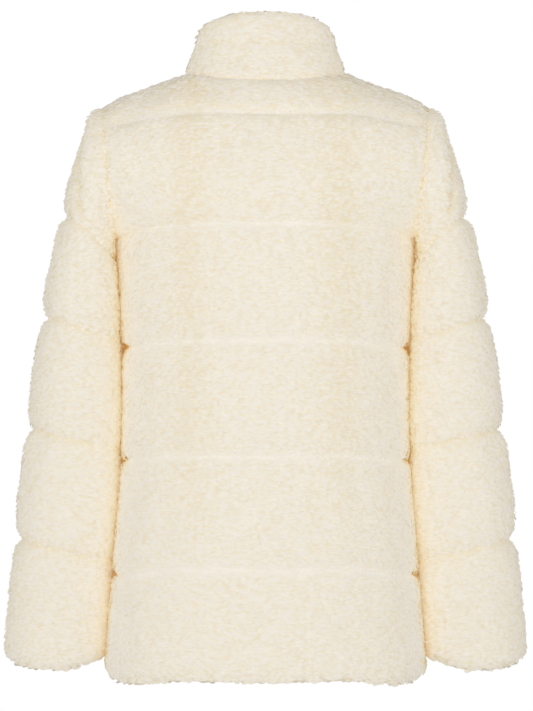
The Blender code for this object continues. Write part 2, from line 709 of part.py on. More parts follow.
def outline_prism(outline, half_width):
    """A prism along X from an outline of (along, outward) corners"""
    count = len(outline)
    points = [(-half_width, *corner) for corner in outline] + [(half_width, *corner) for corner in outline]
    faces = [list(range(count)), [count + corner for corner in reversed(range(count))]]
    for corner in range(count):
        following = (corner + 1) % count
        faces.append([corner, corner + count, following + count, following])
    return points, faces


def local_object(name, parts, place, finish):
    """Object from (points, faces) parts given in slider axes: across, along and outward"""
    origin, along, outward = place
    things = []
    for number, (points, faces) in enumerate(parts):
        moved = [
            (
                across * METRES,
                (along[1] * up + outward[1] * out) * METRES,
                (along[2] * up + outward[2] * out) * METRES,
            )
            for across, up, out in points
        ]
        mesh = bpy.data.meshes.new(f"{name}_{number}")
        mesh.from_pydata(moved, [], faces)
        if signed_volume(mesh) < 0:
            mesh.flip_normals()
        mesh.materials.append(finish)
        thing = bpy.data.objects.new(name if number == 0 else f"{name}_join_{number}", mesh)
        bpy.context.collection.objects.link(thing)
        thing.location = origin * METRES
        things.append(thing)
    for extra in things[1:]:
        extra.hide_render = True
        extra.display_type = "WIRE"
        join = things[0].modifiers.new("join", "BOOLEAN")
        join.operation = "UNION"
        join.solver = "EXACT"
        join.object = extra
    return things[0]


def box_part(across, along, outward):
    """Points and faces of a box from its three ranges in slider axes"""
    outline = [
        (along[0], outward[0]),
        (along[1], outward[0]),
        (along[1], outward[1]),
        (along[0], outward[1]),
    ]
    points, faces = outline_prism(outline, 1.0)
    middle, half = (across[0] + across[1]) / 2.0, (across[1] - across[0]) / 2.0
    return [(middle + half * point[0], point[1], point[2]) for point in points], faces


def slider_heights():
    plate_in = CHAIN_HALF_THICKNESS + PLATE_GAP
    plate_out = plate_in + PLATE_THICKNESS
    window_top = plate_out + CROWN_WINDOW_HEIGHT
    hinge = (plate_out + window_top) / 2.0
    return plate_in, plate_out, window_top, hinge


def make_slider(place, metal):
    plate_in, plate_out, window_top, _ = slider_heights()
    half, length = SLIDER_HALF_WIDTH, SLIDER_HALF_LENGTH
    crown_top = window_top + CROWN_THICKNESS
    crown = CROWN_HALF_LENGTH
    leg = crown - CROWN_THICKNESS
    foot = plate_out - SLIDER_OVERLAP
    arch = [
        (-crown, foot),
        (-crown, window_top),
        (-leg, crown_top),
        (leg, crown_top),
        (crown, window_top),
        (crown, foot),
        (leg, foot),
        (leg, window_top),
        (-leg, window_top),
        (-leg, foot),
    ]
    parts = [
        box_part((-half, half), (-length, length), (plate_in, plate_out)),
        box_part((-half, half), (-length, length), (-plate_out, -plate_in)),
        box_part(
            (-POST_HALF_WIDTH, POST_HALF_WIDTH),
            (length - POST_LENGTH, length - POST_INSET),
            (-plate_in - SLIDER_OVERLAP, plate_in + SLIDER_OVERLAP),
        ),
        outline_prism(arch, CROWN_HALF_WIDTH),
    ]
    return local_object("zip_slider", parts, place, metal)


def make_pull_tab(place, metal):
    """Flat tab with a square eye, hung in the slider's crown and lying down along the zip"""
    thick, wide, eye = TAB_HALF_THICKNESS, TAB_HALF_WIDTH, TAB_EYE_HALF_WIDTH
    grip = TAB_LENGTH * TAB_GRIP
    corner, tip = wide * TAB_CORNER_WIDTH, wide * TAB_TIP_WIDTH
    outline = [
        (-wide, 0.0),
        (-wide, -grip),
        (-corner, -TAB_LENGTH + TAB_CORNER),
        (-tip, -TAB_LENGTH),
        (tip, -TAB_LENGTH),
        (corner, -TAB_LENGTH + TAB_CORNER),
        (wide, -grip),
        (wide, 0.0),
        (wide, thick),
        (-wide, thick),
    ]
    hole = [(-eye, -thick), (-eye, -TAB_EYE_LENGTH), (eye, -TAB_EYE_LENGTH), (eye, -thick)]
    rim = outline + hole
    count = len(rim)
    points = [(x, up, -thick) for x, up in rim] + [(x, up, thick) for x, up in rim]
    eye_start = len(outline)
    flat = [
        [0, 1, eye_start + 1, eye_start],
        [1, 2, 3, 4, 5, 6, eye_start + 2, eye_start + 1],
        [6, 7, eye_start + 3, eye_start + 2],
        [7, 8, 9, 0, eye_start, eye_start + 3],
    ]
    faces = flat + [[number + count for number in reversed(face)] for face in flat]
    for start in range(eye_start):
        end = (start + 1) % eye_start
        faces.append([start, start + count, end + count, end])
    for number in range(len(hole)):
        start, end = eye_start + number, eye_start + (number + 1) % len(hole)
        faces.append([start, end, end + count, start + count])
    return local_object("zip_pull_tab", [(points, faces)], place, metal)


def make_zip(front_inside, collar_inside, cloth, metal):
    edge, next_column, lengths = zip_path(front_inside, collar_inside)
    slider_at, plane = make_zip_strips(edge, next_column, lengths, cloth, metal)
    reach = np.array([slider_at - SLIDER_HALF_LENGTH, slider_at, slider_at + SLIDER_HALF_LENGTH])
    points = along_path(edge, lengths, reach)
    points[:, 0] = 0.0
    along = unit(points[2] - points[0])
    outward = np.array([0.0, -along[2], along[1]])
    origin = points[1] + outward * plane
    make_slider((origin, along, outward), metal)
    hinge = slider_heights()[3]
    make_pull_tab((origin + outward * hinge, along, outward), metal)


def make_jacket():
    clear_scene()
    pile = material("cream pile", PILE_COLOUR, 0.95, 0.0)
    tape = material("zip tape", TAPE_COLOUR, 0.8, 0.0)
    metal = material("zip metal", METAL_COLOUR, 0.35, 1.0)
    front_inside = make_body(pile)
    make_sleeves(pile)
    collar_inside = make_collar(pile)
    make_zip(front_inside, collar_inside, tape, metal)


make_jacket()
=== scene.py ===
"""The looks of a quilted jacket of curly cream pile, filled out to its worn shape, seen from behind."""

import math

import bpy
import mathutils
import numpy as np
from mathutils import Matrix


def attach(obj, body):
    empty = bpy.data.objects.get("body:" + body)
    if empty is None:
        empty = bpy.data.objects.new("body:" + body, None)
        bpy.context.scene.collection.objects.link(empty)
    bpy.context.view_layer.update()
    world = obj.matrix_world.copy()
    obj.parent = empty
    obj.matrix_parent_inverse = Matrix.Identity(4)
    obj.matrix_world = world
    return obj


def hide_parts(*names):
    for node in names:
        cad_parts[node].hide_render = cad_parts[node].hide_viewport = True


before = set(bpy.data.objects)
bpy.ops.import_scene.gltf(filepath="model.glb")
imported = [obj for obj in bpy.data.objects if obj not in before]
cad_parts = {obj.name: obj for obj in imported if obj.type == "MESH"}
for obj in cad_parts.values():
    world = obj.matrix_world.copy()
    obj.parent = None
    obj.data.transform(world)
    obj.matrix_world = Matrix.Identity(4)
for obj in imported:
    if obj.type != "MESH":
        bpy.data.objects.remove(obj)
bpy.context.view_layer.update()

# ---------------------------------------------------------------- back
# One piece of sherpa over light filling, cut across the whole back. It is quilted to a knitted backing
# along five lines: four run straight across, and the top one drops to the armholes. The pile lies down
# towards the hem in short crimped locks.

# Wall: lengths are in millimetres, and a puff is a share of the panel's full puff
MM = 0.001
SEAM_OVERLAP = 1.2  # how far two pieces run under each other at their seam
PRESSED_WALL = 10.5
BODY_PUFF = 4.5
CREASE_SHARPNESS, EDGE_SHARPNESS = 5, 9
CREASE_PINCH, PINCH_WIDTH = 0.35, 0.035
YOKE_PUFF, YOKE_PINCH, YOKE_PINCH_DEGREES = 0.8, 0.4, 5.0
PUCKER = 0.7  # how much deeper a line pulls in where it ends at the side
PUCKER_PLACE, PUCKER_HEIGHT, PUCKER_WIDTH = 0.9, 0.035, 0.07
EDGE_THINNER, EDGE_SPAN = 3.5, 0.09
HEM_CORNER, HEM_CORNER_FROM = 9.0, 0.74  # how far the hem is drawn up at its sides
CORNER_SPAN = 0.25  # share of a tier that the drawing up reaches
UNEVEN_PUFF = 0.08
BODY_WAVES = ((24.7, 0.7), (10.4, 2.1))
LEAST_LEAN = 0.75
TOP_TURN, ARMHOLE_TURN = 14.0, 24.0  # the wall turns into the slant of its seam over this distance
TOP_FADE, ARMHOLE_FADE, FADE_POWER = 18.0, 30.0, 2.2  # and its puff runs out over this one
ZIP_FADE, ZIP_THINNER = 16.0, 0.65
PILE_DEPTH = 2.2  # how far the locks stand out of the ground they grow from
LUMPS, HIGHEST_LUMP = ((0.7, 26.0, 3), (0.3, 9.0, 4)), 1.2  # height, size and seed
FIELD_WAVES, FIELD_STRETCH = 9, (1.2, 2.6)  # an uneven field's waves, and how much longer than its bumps

# Where the sleeve lies against the side, in steps of the thirteen from the middle to the side seam
CONTACT_STEPS, CONTACT_FROM, CONTACT_SPAN = 13.0, 10.0, 2.0
CONTACT_ROWS_ABOVE = 9.0
CONTACT_FILL = 0.72
CONTACT_RISE = 1.35  # more than 1: sleeve and side are pushed into each other's pile

# Shades are added to the tone of the pile, which is 0 at its roots and 1 at its tips; here they are painted
# shade and painted light
# painted shade in the slit where sleeve and side face each other
PAINTED_SLIT_SHADE, SLIT_NARROWNESS = -1.35, 3
PAINTED_SEAM_SHADE, PAINTED_SEAM_SHADE_WIDTH = 0.7, 2.5  # painted shade: the armhole seam lies deep between the two piles
# painted shade in the puckers where the lines end at the sides
PAINTED_PUCKER_SHADE = 1.6
PAINTED_LINE_LIGHT, PAINTED_LINE_LIGHT_WIDTH, PAINTED_LINE_LIGHT_FADE = 0.5, 0.05, 0.3  # painted light: the flattened pile along the lines is lighter, as where it catches the light
PAINTED_SIDE_LIGHT, PAINTED_SIDE_LIGHT_FROM, PAINTED_SIDE_LIGHT_SPAN = 0.6, 0.6, 0.25  # painted light beside the sleeves, where the side turns away from the light
LINE_FROM_PUFF = -4.0  # a line runs where the puff is below none, and is full at a quarter below it
SHADED_BAND_X, SHADED_BAND_WIDTH = 80.0, 20.0  # two bands beside the middle lie flatter, and are painted darker as the shade of soft folds
SHADED_BAND_TO_Z, SHADED_BAND_FADE = -570.0, 180.0  # they fade out towards the hem
PAINTED_BAND_SHADE = 0.28
GROUND_TONE = 0.3

# Armhole
UNDERARM_X, UNDERARM_Z = 171.0, -166.0
SHOULDER_X, SHOULDER_Z = 185.0, -37.0
ARMHOLE_BACK, ARMHOLE_FRONT = 72.0, 76.0
YOKE_DEGREES = 45.0
ARMPIT_OUT, ARMPIT_FROM, ARMPIT_SPAN = 16.0, 10.0, 60.0
CHEST_TURN, SIDE_TURN = 58.0, 90.0
TURN_OUT_FROM = 0.72
BULGE_BY_NECK, BULGE_MORE, BULGE_MORE_TO = 0.45, 0.85, 0.6  # the shoulder's share of the armhole's bow
BULGE_LESS, BULGE_LESS_FROM = 0.3, 0.8

# Neck
NECK_HALF_WIDTH, NECK_BACK, NECK_FRONT = 84.0, 70.0, 84.0
NECK_SIDE_Z, NECK_BACK_Z, NECK_FRONT_Z = 1.3, -6.0, -72.0
NECK_RISE = (25.0, 38.0, 18.0)
ZIP_EDGE_X = 6.5

# Quilting lines of the body: z in its middle, y in the middle of back and front, then the side seam
ROUNDNESS = 2 / 2.3
LEVEL_HALF_WIDTH = 80.0
BODY_LINES = {
    "z": (-674.0, -550.0, -424.0, -295.0, -165.0),
    "back_y": (116.0, 115.0, 112.0, 110.0, 114.0),
    "front_y": (-114.0, -114.0, -113.0, -114.0, -117.0),
    "side_x": (169.5, 160.5, 150.5, 149.5, 156.0),
    "side_z": (-682.5, -561.0, -430.0, -302.0, -166.0),
}
UPPER_SHARES = (0.0, 0.38, 0.75)
UPPER_MIDDLE = {
    1: {"z": (-165.0, -102.0, -42.0), "y": (114.0, 112.0, 94.0)},
    -1: {"z": (-165.0, -128.0, -92.0), "y": (-117.0, -112.0, -97.0)},
}

# Fineness of the ground that the pile grows from
TIERS, ROWS_PER_TIER = 4, 26
SIDE_ROWS = TIERS * ROWS_PER_TIER
UPPER_ROWS, YOKE_ROWS = 30, 13
NECK_COLUMNS, SHOULDER_COLUMNS = 24, 20
CHEST_DEGREES = np.linspace(-90.0, YOKE_DEGREES, UPPER_ROWS)
SHOULDER_DEGREES = np.linspace(YOKE_DEGREES, 90.0, YOKE_ROWS + 1)[1:]
ARMHOLE_DEGREES = np.concatenate([CHEST_DEGREES, SHOULDER_DEGREES])


def held(value):
    return np.clip(value, 0.0, 1.0)


def eased(value):
    value = held(value)
    return value * value * (3.0 - 2.0 * value)


def near(distance, width):
    """1 at no distance, and next to nothing a few widths away"""
    return np.exp(-((distance / width) ** 2))


def through(keys, values, at):
    """A smooth curve through the values at these keys"""
    keys, values = np.asarray(keys, float), np.asarray(values, float)
    slopes = np.gradient(values, keys)
    step = np.clip(np.searchsorted(keys, at, side="right") - 1, 0, len(keys) - 2)
    width = keys[step + 1] - keys[step]
    part = (at - keys[step]) / width
    square, cube = part**2, part**3
    return (
        (2 * cube - 3 * square + 1) * values[step]
        + (cube - 2 * square + part) * width * slopes[step]
        + (3 * square - 2 * cube) * values[step + 1]
        + (cube - square) * width * slopes[step + 1]
    )


def unit(vectors):
    return vectors / np.maximum(np.linalg.norm(vectors, axis=-1, keepdims=True), 1e-9)


def stacked(*parts):
    """Arrays side by side along a new last axis, such as x, y and z into points"""
    return np.stack(parts, axis=-1)


def joined(*parts, axis=0):
    return np.concatenate(parts, axis)


def distances(line):
    """How far along a line each of its points is"""
    return joined([0.0], np.cumsum(np.linalg.norm(np.diff(line, axis=0), axis=1)))


def field(points, size, seed):
    """A smooth uneven field over space, about -1 to 1, with bumps of about that size"""
    dice = np.random.default_rng(seed)
    total = np.zeros(points.shape[:-1])
    for _ in range(FIELD_WAVES):
        wave = unit(dice.normal(size=3)) * 2 * math.pi / (size * dice.uniform(*FIELD_STRETCH))
        total += np.sin(points @ wave + dice.uniform(0, 2 * math.pi))
    return total / math.sqrt(FIELD_WAVES)


def puffed(share, edge=False):
    """Puff from one quilting line, 0, to the next, 1, with the crease drawn in by its stitches"""
    sharpness = np.where(edge & (share < 0.5), EDGE_SHARPNESS, CREASE_SHARPNESS)
    full = 1.0 - np.abs(2.0 * share - 1.0) ** sharpness
    nearest = np.minimum(share + np.where(edge, 1.0, 0.0), 1.0 - share)
    return full - CREASE_PINCH * near(nearest, PINCH_WIDTH)


def filled_by_contact(puff, contact):
    """Creases are shallower where sleeve and side lie against each other"""
    return 1.0 - (1.0 - puff) * (1.0 - CONTACT_FILL * contact)


def rounded_edge(share):
    """How much thinner the wall is this share of a tier away from a hem, a cuff or the collar's top"""
    return EDGE_THINNER * eased(1.0 - share / EDGE_SPAN)


def thinned_at_zip(from_front):
    """The share of its puff that a panel keeps this far from the edge with the zip"""
    return 1.0 - ZIP_THINNER * held(1.0 - from_front / ZIP_FADE) ** 2


def grid_normals(points, closed=False):
    if closed:
        across = np.roll(points, -1, axis=1) - np.roll(points, 1, axis=1)
    else:
        across = np.gradient(points, axis=1)
    return unit(np.cross(across, np.gradient(points, axis=0)))


def reach(points, axis):
    """Distance of every point of a grid from the grid's last row or column"""
    steps = np.linalg.norm(np.diff(points, axis=axis), axis=-1)
    steps = np.flip(np.cumsum(np.flip(steps, axis), axis=axis), axis)
    return np.concatenate([steps, np.zeros_like(np.take(steps, [0], axis))], axis=axis)


def armhole_edge(angles, half_depth):
    height = np.sin(angles)
    x = UNDERARM_X + (SHOULDER_X - UNDERARM_X) * (1.0 + height) / 2.0
    z = (UNDERARM_Z + SHOULDER_Z) / 2.0 + (SHOULDER_Z - UNDERARM_Z) / 2.0 * height
    return stacked(x, half_depth * np.cos(angles), z)


def armhole_mitres(angles, facing):
    return stacked(np.zeros_like(angles), facing * np.cos(angles), np.sin(angles))


def neck_edge(turns):
    """The neck seam, from the middle of the back, 0, round to the middle of the front"""
    forward, backward = held(-np.cos(turns)), held(np.cos(turns))
    z = NECK_SIDE_Z + (NECK_BACK_Z - NECK_SIDE_Z) * backward**2
    z = z + (NECK_FRONT_Z - NECK_SIDE_Z) * forward**1.5
    y = NECK_BACK * backward - NECK_FRONT * forward
    return stacked(NECK_HALF_WIDTH * np.sin(turns), y, z)


def neck_mitres(turns):
    rise = np.radians(through((0, math.pi / 2, math.pi), NECK_RISE, turns))
    level = np.cos(rise)
    return stacked(np.sin(turns) * level, np.cos(turns) * level, np.sin(rise))


def below_neck(turns, mitres):
    """Down from the neck seam along the panel, square to the seam's mitre"""
    out = stacked(np.sin(turns), np.cos(turns), np.zeros_like(turns))
    return out * mitres[:, 2:] - np.array([0.0, 0.0, 1.0]) * np.sum(out * mitres, axis=1)[:, None]


def neck_turns(facing):
    start = 0.0 if facing > 0 else math.pi - math.asin(ZIP_EDGE_X / NECK_HALF_WIDTH)
    return np.linspace(start, math.pi / 2, NECK_COLUMNS + 1)


def bowed_row(centre, edge, spread, turn):
    """A row from a panel's middle to its edge, bowed round the body by that turn"""
    angle = spread * turn
    across = (np.sin(angle) / math.sin(turn)) ** ROUNDNESS
    left_over = max(math.cos(turn), 0.0) ** ROUNDNESS
    out = (held(np.cos(angle)) ** ROUNDNESS - left_over) / (1.0 - left_over)
    x = centre[0] + (edge[0] - centre[0]) * across
    y = edge[1] + (centre[1] - edge[1]) * out
    drop = eased((x - LEVEL_HALF_WIDTH) / (edge[0] - LEVEL_HALF_WIDTH))
    return stacked(x, y, centre[2] + (edge[2] - centre[2]) * drop)


def half_panel(facing):
    """Inside points and puff of half a back (facing 1) or of a front (facing -1), hem to shoulder"""
    side = "back" if facing > 0 else "front"
    spread = np.linspace(0.0, 1.0, NECK_COLUMNS + SHOULDER_COLUMNS + 1)
    middle_x = 0.0 if facing > 0 else ZIP_EDGE_X
    levels = np.arange(SIDE_ROWS) / ROWS_PER_TIER
    along = {name: through(range(TIERS + 1), values, levels) for name, values in BODY_LINES.items()}
    lines = zip(along[side + "_y"], along["z"], along["side_x"], along["side_z"])
    rows = [
        bowed_row((middle_x, y, z), (side_x, 0.0, side_z), spread, math.pi / 2)
        for y, z, side_x, side_z in lines
    ]
    puffs = list(puffed(levels % 1.0, levels < 1.0))

    edge = armhole_edge(np.radians(ARMHOLE_DEGREES), ARMHOLE_BACK if facing > 0 else -ARMHOLE_FRONT)
    flares = ARMPIT_OUT * eased((ARMPIT_FROM - ARMHOLE_DEGREES) / ARMPIT_SPAN)
    turns = CHEST_TURN + (SIDE_TURN - CHEST_TURN) * eased(-ARMHOLE_DEGREES / 90.0)
    turns = np.radians(turns)
    shares = (ARMHOLE_DEGREES + 90.0) / 180.0
    middle_y = through(UPPER_SHARES, UPPER_MIDDLE[facing]["y"], shares)
    middle_z = through(UPPER_SHARES, UPPER_MIDDLE[facing]["z"], shares)
    turned_out = held((spread - TURN_OUT_FROM) / (1.0 - TURN_OUT_FROM)) ** 2
    for step in range(UPPER_ROWS):
        flare = np.array([flares[step], 0.0, 0.0])
        middle = (middle_x, middle_y[step], middle_z[step])
        row = bowed_row(middle, edge[step] - flare, spread, turns[step])
        rows.append(row + turned_out[:, None] * flare)
    neck = neck_edge(neck_turns(facing))
    ridge = np.linspace(neck[-1], edge[-1], SHOULDER_COLUMNS + 1)
    yoke_row, top_row = rows[-1], joined(neck, ridge[1:])
    yoke_shares = (SHOULDER_DEGREES - YOKE_DEGREES) / (90.0 - YOKE_DEGREES)
    rounding = BULGE_BY_NECK + BULGE_MORE * eased(spread / BULGE_MORE_TO)
    rounding = rounding - BULGE_LESS * eased((spread - BULGE_LESS_FROM) / (1.0 - BULGE_LESS_FROM))
    for step, share in enumerate(yoke_shares, UPPER_ROWS):
        straight = yoke_row * (1.0 - share) + top_row * share
        rows.append(straight + rounding[:, None] * (edge[step] - straight[-1]))
    if facing < 0:
        return np.array(rows), np.array(puffs + list(puffed(shares)))
    puffs += list(puffed((CHEST_DEGREES + 90.0) / (YOKE_DEGREES + 90.0)))
    puffs = np.array(puffs + list(YOKE_PUFF * puffed(yoke_shares)))
    puffs[SIDE_ROWS:] -= YOKE_PINCH * near(ARMHOLE_DEGREES - YOKE_DEGREES, YOKE_PINCH_DEGREES)
    return np.array(rows), puffs


def turned(directions, others, pull):
    """Directions pulled over to others, all the way where the pull is 1"""
    return unit(directions * (1.0 - pull) + others * pull)


def leaning(directions, straight):
    """How much directions lean from straight out of the wall, 1 for not at all"""
    return np.clip(np.sum(directions * straight, axis=-1), LEAST_LEAN, 1.0)


def half_directions(inside, from_side, from_top, facing):
    """Where the wall of half a panel thickens to, and how much that leans from straight out"""
    true_normals = grid_normals(inside) * -facing
    at_top = true_normals[-1] * np.array([1.0, 0.0, 1.0])
    at_top[: NECK_COLUMNS + 1] = neck_mitres(neck_turns(facing))
    normals = turned(true_normals, unit(at_top)[None], held(1.0 - from_top / TOP_TURN)[..., None])
    pull = held(1.0 - from_side[SIDE_ROWS:] / ARMHOLE_TURN)[..., None]
    mitres = armhole_mitres(np.radians(ARMHOLE_DEGREES), facing)[:, None]
    normals[SIDE_ROWS:] = turned(normals[SIDE_ROWS:], mitres, pull)
    normals[:SIDE_ROWS, -1, 1] = 0.0
    normals[0, :, 2] = 0.0
    normals[:, 0, 0] = 0.0
    normals = unit(normals)
    lean = leaning(normals, true_normals)
    lean[SIDE_ROWS:, -1] = 1.0
    lean[-1, : NECK_COLUMNS + 1] = 1.0
    return normals, lean


def painted_slit_shade(press, directions):
    """Painted shade: the pile is painted deep golden in the slit where sleeve and side face each other, and
    only there
    """
    return PAINTED_SLIT_SHADE * press**2 * (1.0 - np.abs(directions[..., 1])) ** SLIT_NARROWNESS


def wall_of_half(facing):
    """Inside points, outside points, outward directions, and puff, press and shade of half a back or of
    a front. Press is how hard the sleeve lies against it."""
    inside, row_puffs = half_panel(facing)
    rows, columns = inside.shape[:2]
    spread = np.linspace(0.0, 1.0, columns)
    from_side, from_top = reach(inside, 1), reach(inside, 0)
    normals, lean = half_directions(inside, from_side, from_top, facing)

    puff = row_puffs[:, None] * np.ones(columns)
    contact = eased((CONTACT_STEPS * spread - CONTACT_FROM) / CONTACT_SPAN)
    puff[1:SIDE_ROWS] = filled_by_contact(puff, contact)[1:SIDE_ROWS]
    puff *= 1.0 + UNEVEN_PUFF * sum(np.sin(often * spread + start) for often, start in BODY_WAVES)
    levels = np.arange(SIDE_ROWS + 1) / ROWS_PER_TIER
    from_line = np.where(levels < 0.5, 1.0, np.abs(levels - np.round(levels)))[:, None]
    pucker = near(from_line, PUCKER_HEIGHT) * near(spread - PUCKER_PLACE, PUCKER_WIDTH)
    puff[: SIDE_ROWS + 1] -= PUCKER * pucker
    press = contact * np.ones((rows, 1))
    press[SIDE_ROWS:] *= held(1.0 - np.arange(rows - SIDE_ROWS) / CONTACT_ROWS_ABOVE)[:, None]

    fade = 1.0 - held(1.0 - from_top / TOP_FADE) ** FADE_POWER
    fade[SIDE_ROWS:] *= 1.0 - held(1.0 - from_side[SIDE_ROWS:] / ARMHOLE_FADE) ** FADE_POWER
    if facing < 0:
        from_front = np.cumsum(np.linalg.norm(np.diff(inside, axis=1), axis=-1), axis=1)
        fade *= thinned_at_zip(joined(np.zeros((rows, 1)), from_front, axis=1))
    thickness = PRESSED_WALL + BODY_PUFF * puff * fade
    thickness[:SIDE_ROWS] -= rounded_edge(levels[:-1])[:, None]
    outside = inside + normals * (thickness / lean)[..., None]

    corner = HEM_CORNER * eased((spread - HEM_CORNER_FROM) / (1.0 - HEM_CORNER_FROM))
    lifted = corner * eased(1.0 - levels[:-1] / CORNER_SPAN)[:, None]
    turns = neck_turns(facing)
    down = below_neck(turns, neck_mitres(turns))
    under = SEAM_OVERLAP / 2.0
    for grid in (inside, outside):
        grid[:SIDE_ROWS, :, 2] += lifted
        grid[: SIDE_ROWS + 1, -1, 1] -= facing * under
        grid[SIDE_ROWS:, -1, 0] += under
        grid[-1, NECK_COLUMNS:, 1] -= facing * under
        grid[-1, : NECK_COLUMNS + 1] -= under * down

    # Painted shade and painted light on the pile: in the slit, in two bands, along the lines, beside the
    # sleeves, at the puckers and along the seam
    shaded_bands = near(np.abs(inside[..., 0]) - SHADED_BAND_X, SHADED_BAND_WIDTH)
    shade = painted_slit_shade(press, normals)
    shade -= PAINTED_BAND_SHADE * shaded_bands * eased((inside[..., 2] - SHADED_BAND_TO_Z) / SHADED_BAND_FADE)
    on_line = near(from_line, PAINTED_LINE_LIGHT_WIDTH)
    on_line = joined(on_line, held(LINE_FROM_PUFF * row_puffs[SIDE_ROWS + 1 :, None]))
    shade += PAINTED_LINE_LIGHT * on_line * eased((1.0 - spread) / PAINTED_LINE_LIGHT_FADE)
    by_sleeve = eased((spread - PAINTED_SIDE_LIGHT_FROM) / PAINTED_SIDE_LIGHT_SPAN)
    shade[:SIDE_ROWS] += PAINTED_SIDE_LIGHT * by_sleeve * np.sqrt(np.abs(normals[:SIDE_ROWS, :, 1]))
    shade[: SIDE_ROWS + 1] -= PAINTED_PUCKER_SHADE * pucker
    shade[SIDE_ROWS:] -= PAINTED_SEAM_SHADE * near(from_side[SIDE_ROWS:], PAINTED_SEAM_SHADE_WIDTH)
    return inside, outside, normals, stacked(puff, press, shade)


def uneven_ground(outside, directions, values):
    """The ground under the pile: a little inside the tips, with soft uneven lumps"""
    press = values[..., 1:2]
    middle = outside - directions * PILE_DEPTH * (1.0 - CONTACT_RISE * press)
    lumps = sum(height * field(middle, size, seed) for height, size, seed in LUMPS)
    return middle + directions * np.minimum(lumps, HIGHEST_LUMP)[..., None] * (1.0 - press)


def new_object(name, data):
    thing = bpy.data.objects.new(name, data)
    bpy.context.collection.objects.link(thing)
    return thing


def mesh_piece(name, points, faces, finishes, pile=None, outward=None):
    """Object from points in millimetres and one face array for each finish. Pile is how near the tip
    each point is, with painted shade and painted light added. Outward bends the shading towards the
    cloth's own, as light passing through soft pile does."""
    mesh = bpy.data.meshes.new(name)
    mesh.from_pydata((points * MM).tolist(), [], [face for part in faces for face in part.tolist()])
    kinds = np.repeat(range(len(faces)), [len(part) for part in faces])
    mesh.polygons.foreach_set("material_index", kinds.astype(np.int32))
    if pile is not None:
        shade = mesh.attributes.new("pile", "FLOAT", "POINT")
        shade.data.foreach_set("value", pile.astype(np.float32))
    mesh.shade_smooth()
    if outward is not None:
        own = np.empty(len(points) * 3, np.float32)
        mesh.vertex_normals.foreach_get("vector", own)
        bent = unit(own.reshape(-1, 3) + SOFT_SHADING * outward)
        mesh.normals_split_custom_set_from_vertices(bent.tolist())
    for finish in finishes:
        mesh.materials.append(finish)
    return new_object(name, mesh)


def wall_piece(name, inside, outside, shade, finishes, closed=False):
    """One closed wall between an inside and an outside grid of points"""
    rows, columns = inside.shape[:2]
    number = np.arange(rows * columns).reshape(rows, columns)
    if closed:
        number = joined(number, number[:, :1], axis=1)
    beyond = rows * columns
    inner = stacked(number[:-1, :-1], number[:-1, 1:], number[1:, 1:], number[1:, :-1])
    inner = inner.reshape(-1, 4)
    rims = [number[0], number[-1, ::-1]]
    if not closed:
        rims = [joined(number[0], number[1:, -1], number[-1, -2::-1], number[-2::-1, 0])]
    edges = [stacked(rim[:-1], rim[1:], rim[1:] + beyond, rim[:-1] + beyond) for rim in rims]
    faces = [np.concatenate([inner + beyond] + edges), inner[:, ::-1]]
    points = joined(inside.reshape(-1, 3), outside.reshape(-1, 3))
    a, b, c = (points[np.concatenate(faces)[:, corner]] for corner in range(3))
    if np.einsum("ij,ij->i", a, np.cross(b, c)).sum() < 0:
        faces = [part[:, ::-1] for part in faces]
    if shade is None:
        return mesh_piece(name, points, [np.concatenate(faces)], finishes)
    pile = joined(np.full(beyond, GROUND_TONE), GROUND_TONE + shade.ravel())
    return mesh_piece(name, points, faces, finishes, pile)


# Locks of pile
SOFT_SHADING = 3.5
LOCK_ROW_SPACING, LOCK_SPACING = 2.9, 7.4
LOCK_START, LOCK_STAGGER, LOCK_SCATTER = 0.25, 0.5, 0.38  # of the spacing, the last to either side
LOCK_LENGTH, LOCK_WIDTH = 6.0, 11.5
LOCK_WIDTHS = (0.75, 1.2)
LOCK_STATIONS = (0.0, 0.34, 0.74, 1.0)
LOCK_HEIGHTS = (-1.0, 0.45, 0.6, -0.55)  # of the lock's middle above the ground, in pile depths / 2
LOCK_FATNESS = (0.0, 1.0, 0.72, 0.0)
# Triangles of one lock: its root is point 0, two rings are 1 to 3 and 4 to 6, and its tip is 7
LOCK_FACES = np.array([
    (0, 1, 2), (0, 2, 3), (0, 3, 1),
    (1, 4, 5), (2, 5, 6), (3, 6, 4),
    (1, 5, 2), (2, 6, 3), (3, 4, 1),
    (4, 7, 5), (5, 7, 6), (6, 7, 4),
])
LOCK_SINK, LOCK_CREST = 0.45, 0.5  # its sides lie this much lower, and its crest this much higher
# Each lock's sides are painted nearer the root colour than its crest: painted shade on the sides, which lie
# lower
LOCK_TONE, CREST_TONE, TIP_TONE = 0.1, 0.5, 0.5
TONE_SHARE, CRIMP_TONE, LEAST_TONE, MOST_TONE = 0.85, 0.12, 0.4, 1.1
LOCK_MOODS = {  # how uneven the locks are: smooth part with its size and seed, and loose part
    "swing": (0.28, 18.0, 11, 0.14),
    "shift": (2.0, 14.0, 12, 0.8),
    "size": (0.15, 11.0, 13, 0.13),
    "curl": (1.1, 20.0, 14, 1.2),
    "crimp": (0.3, 8.0, 15, 0.25),
}
LEAST_SIZE, MOST_SIZE = 0.5, 1.6
LEAST_CRIMP, MOST_CRIMP = 0.35, 1.9
PRESSED_SIZE, PUFFED_SIZE, CONTACT_SIZE = 0.52, 0.6, 0.2
LIFTED_SHARE, LIFT = 0.45, 2.5  # some locks' tips stand out of the pile
ZIP_TRIM, TRIMMED_SIZE = 10.0, 0.3  # the pile is trimmed shorter this far beside the zip
HIDDEN_BELOW = 0.4  # where the ground's own direction agrees less than this with the wall's
WALL_PULL_HIDDEN, WALL_PULL = 3.0, 0.4  # how strongly the wall's direction is added there, and elsewhere
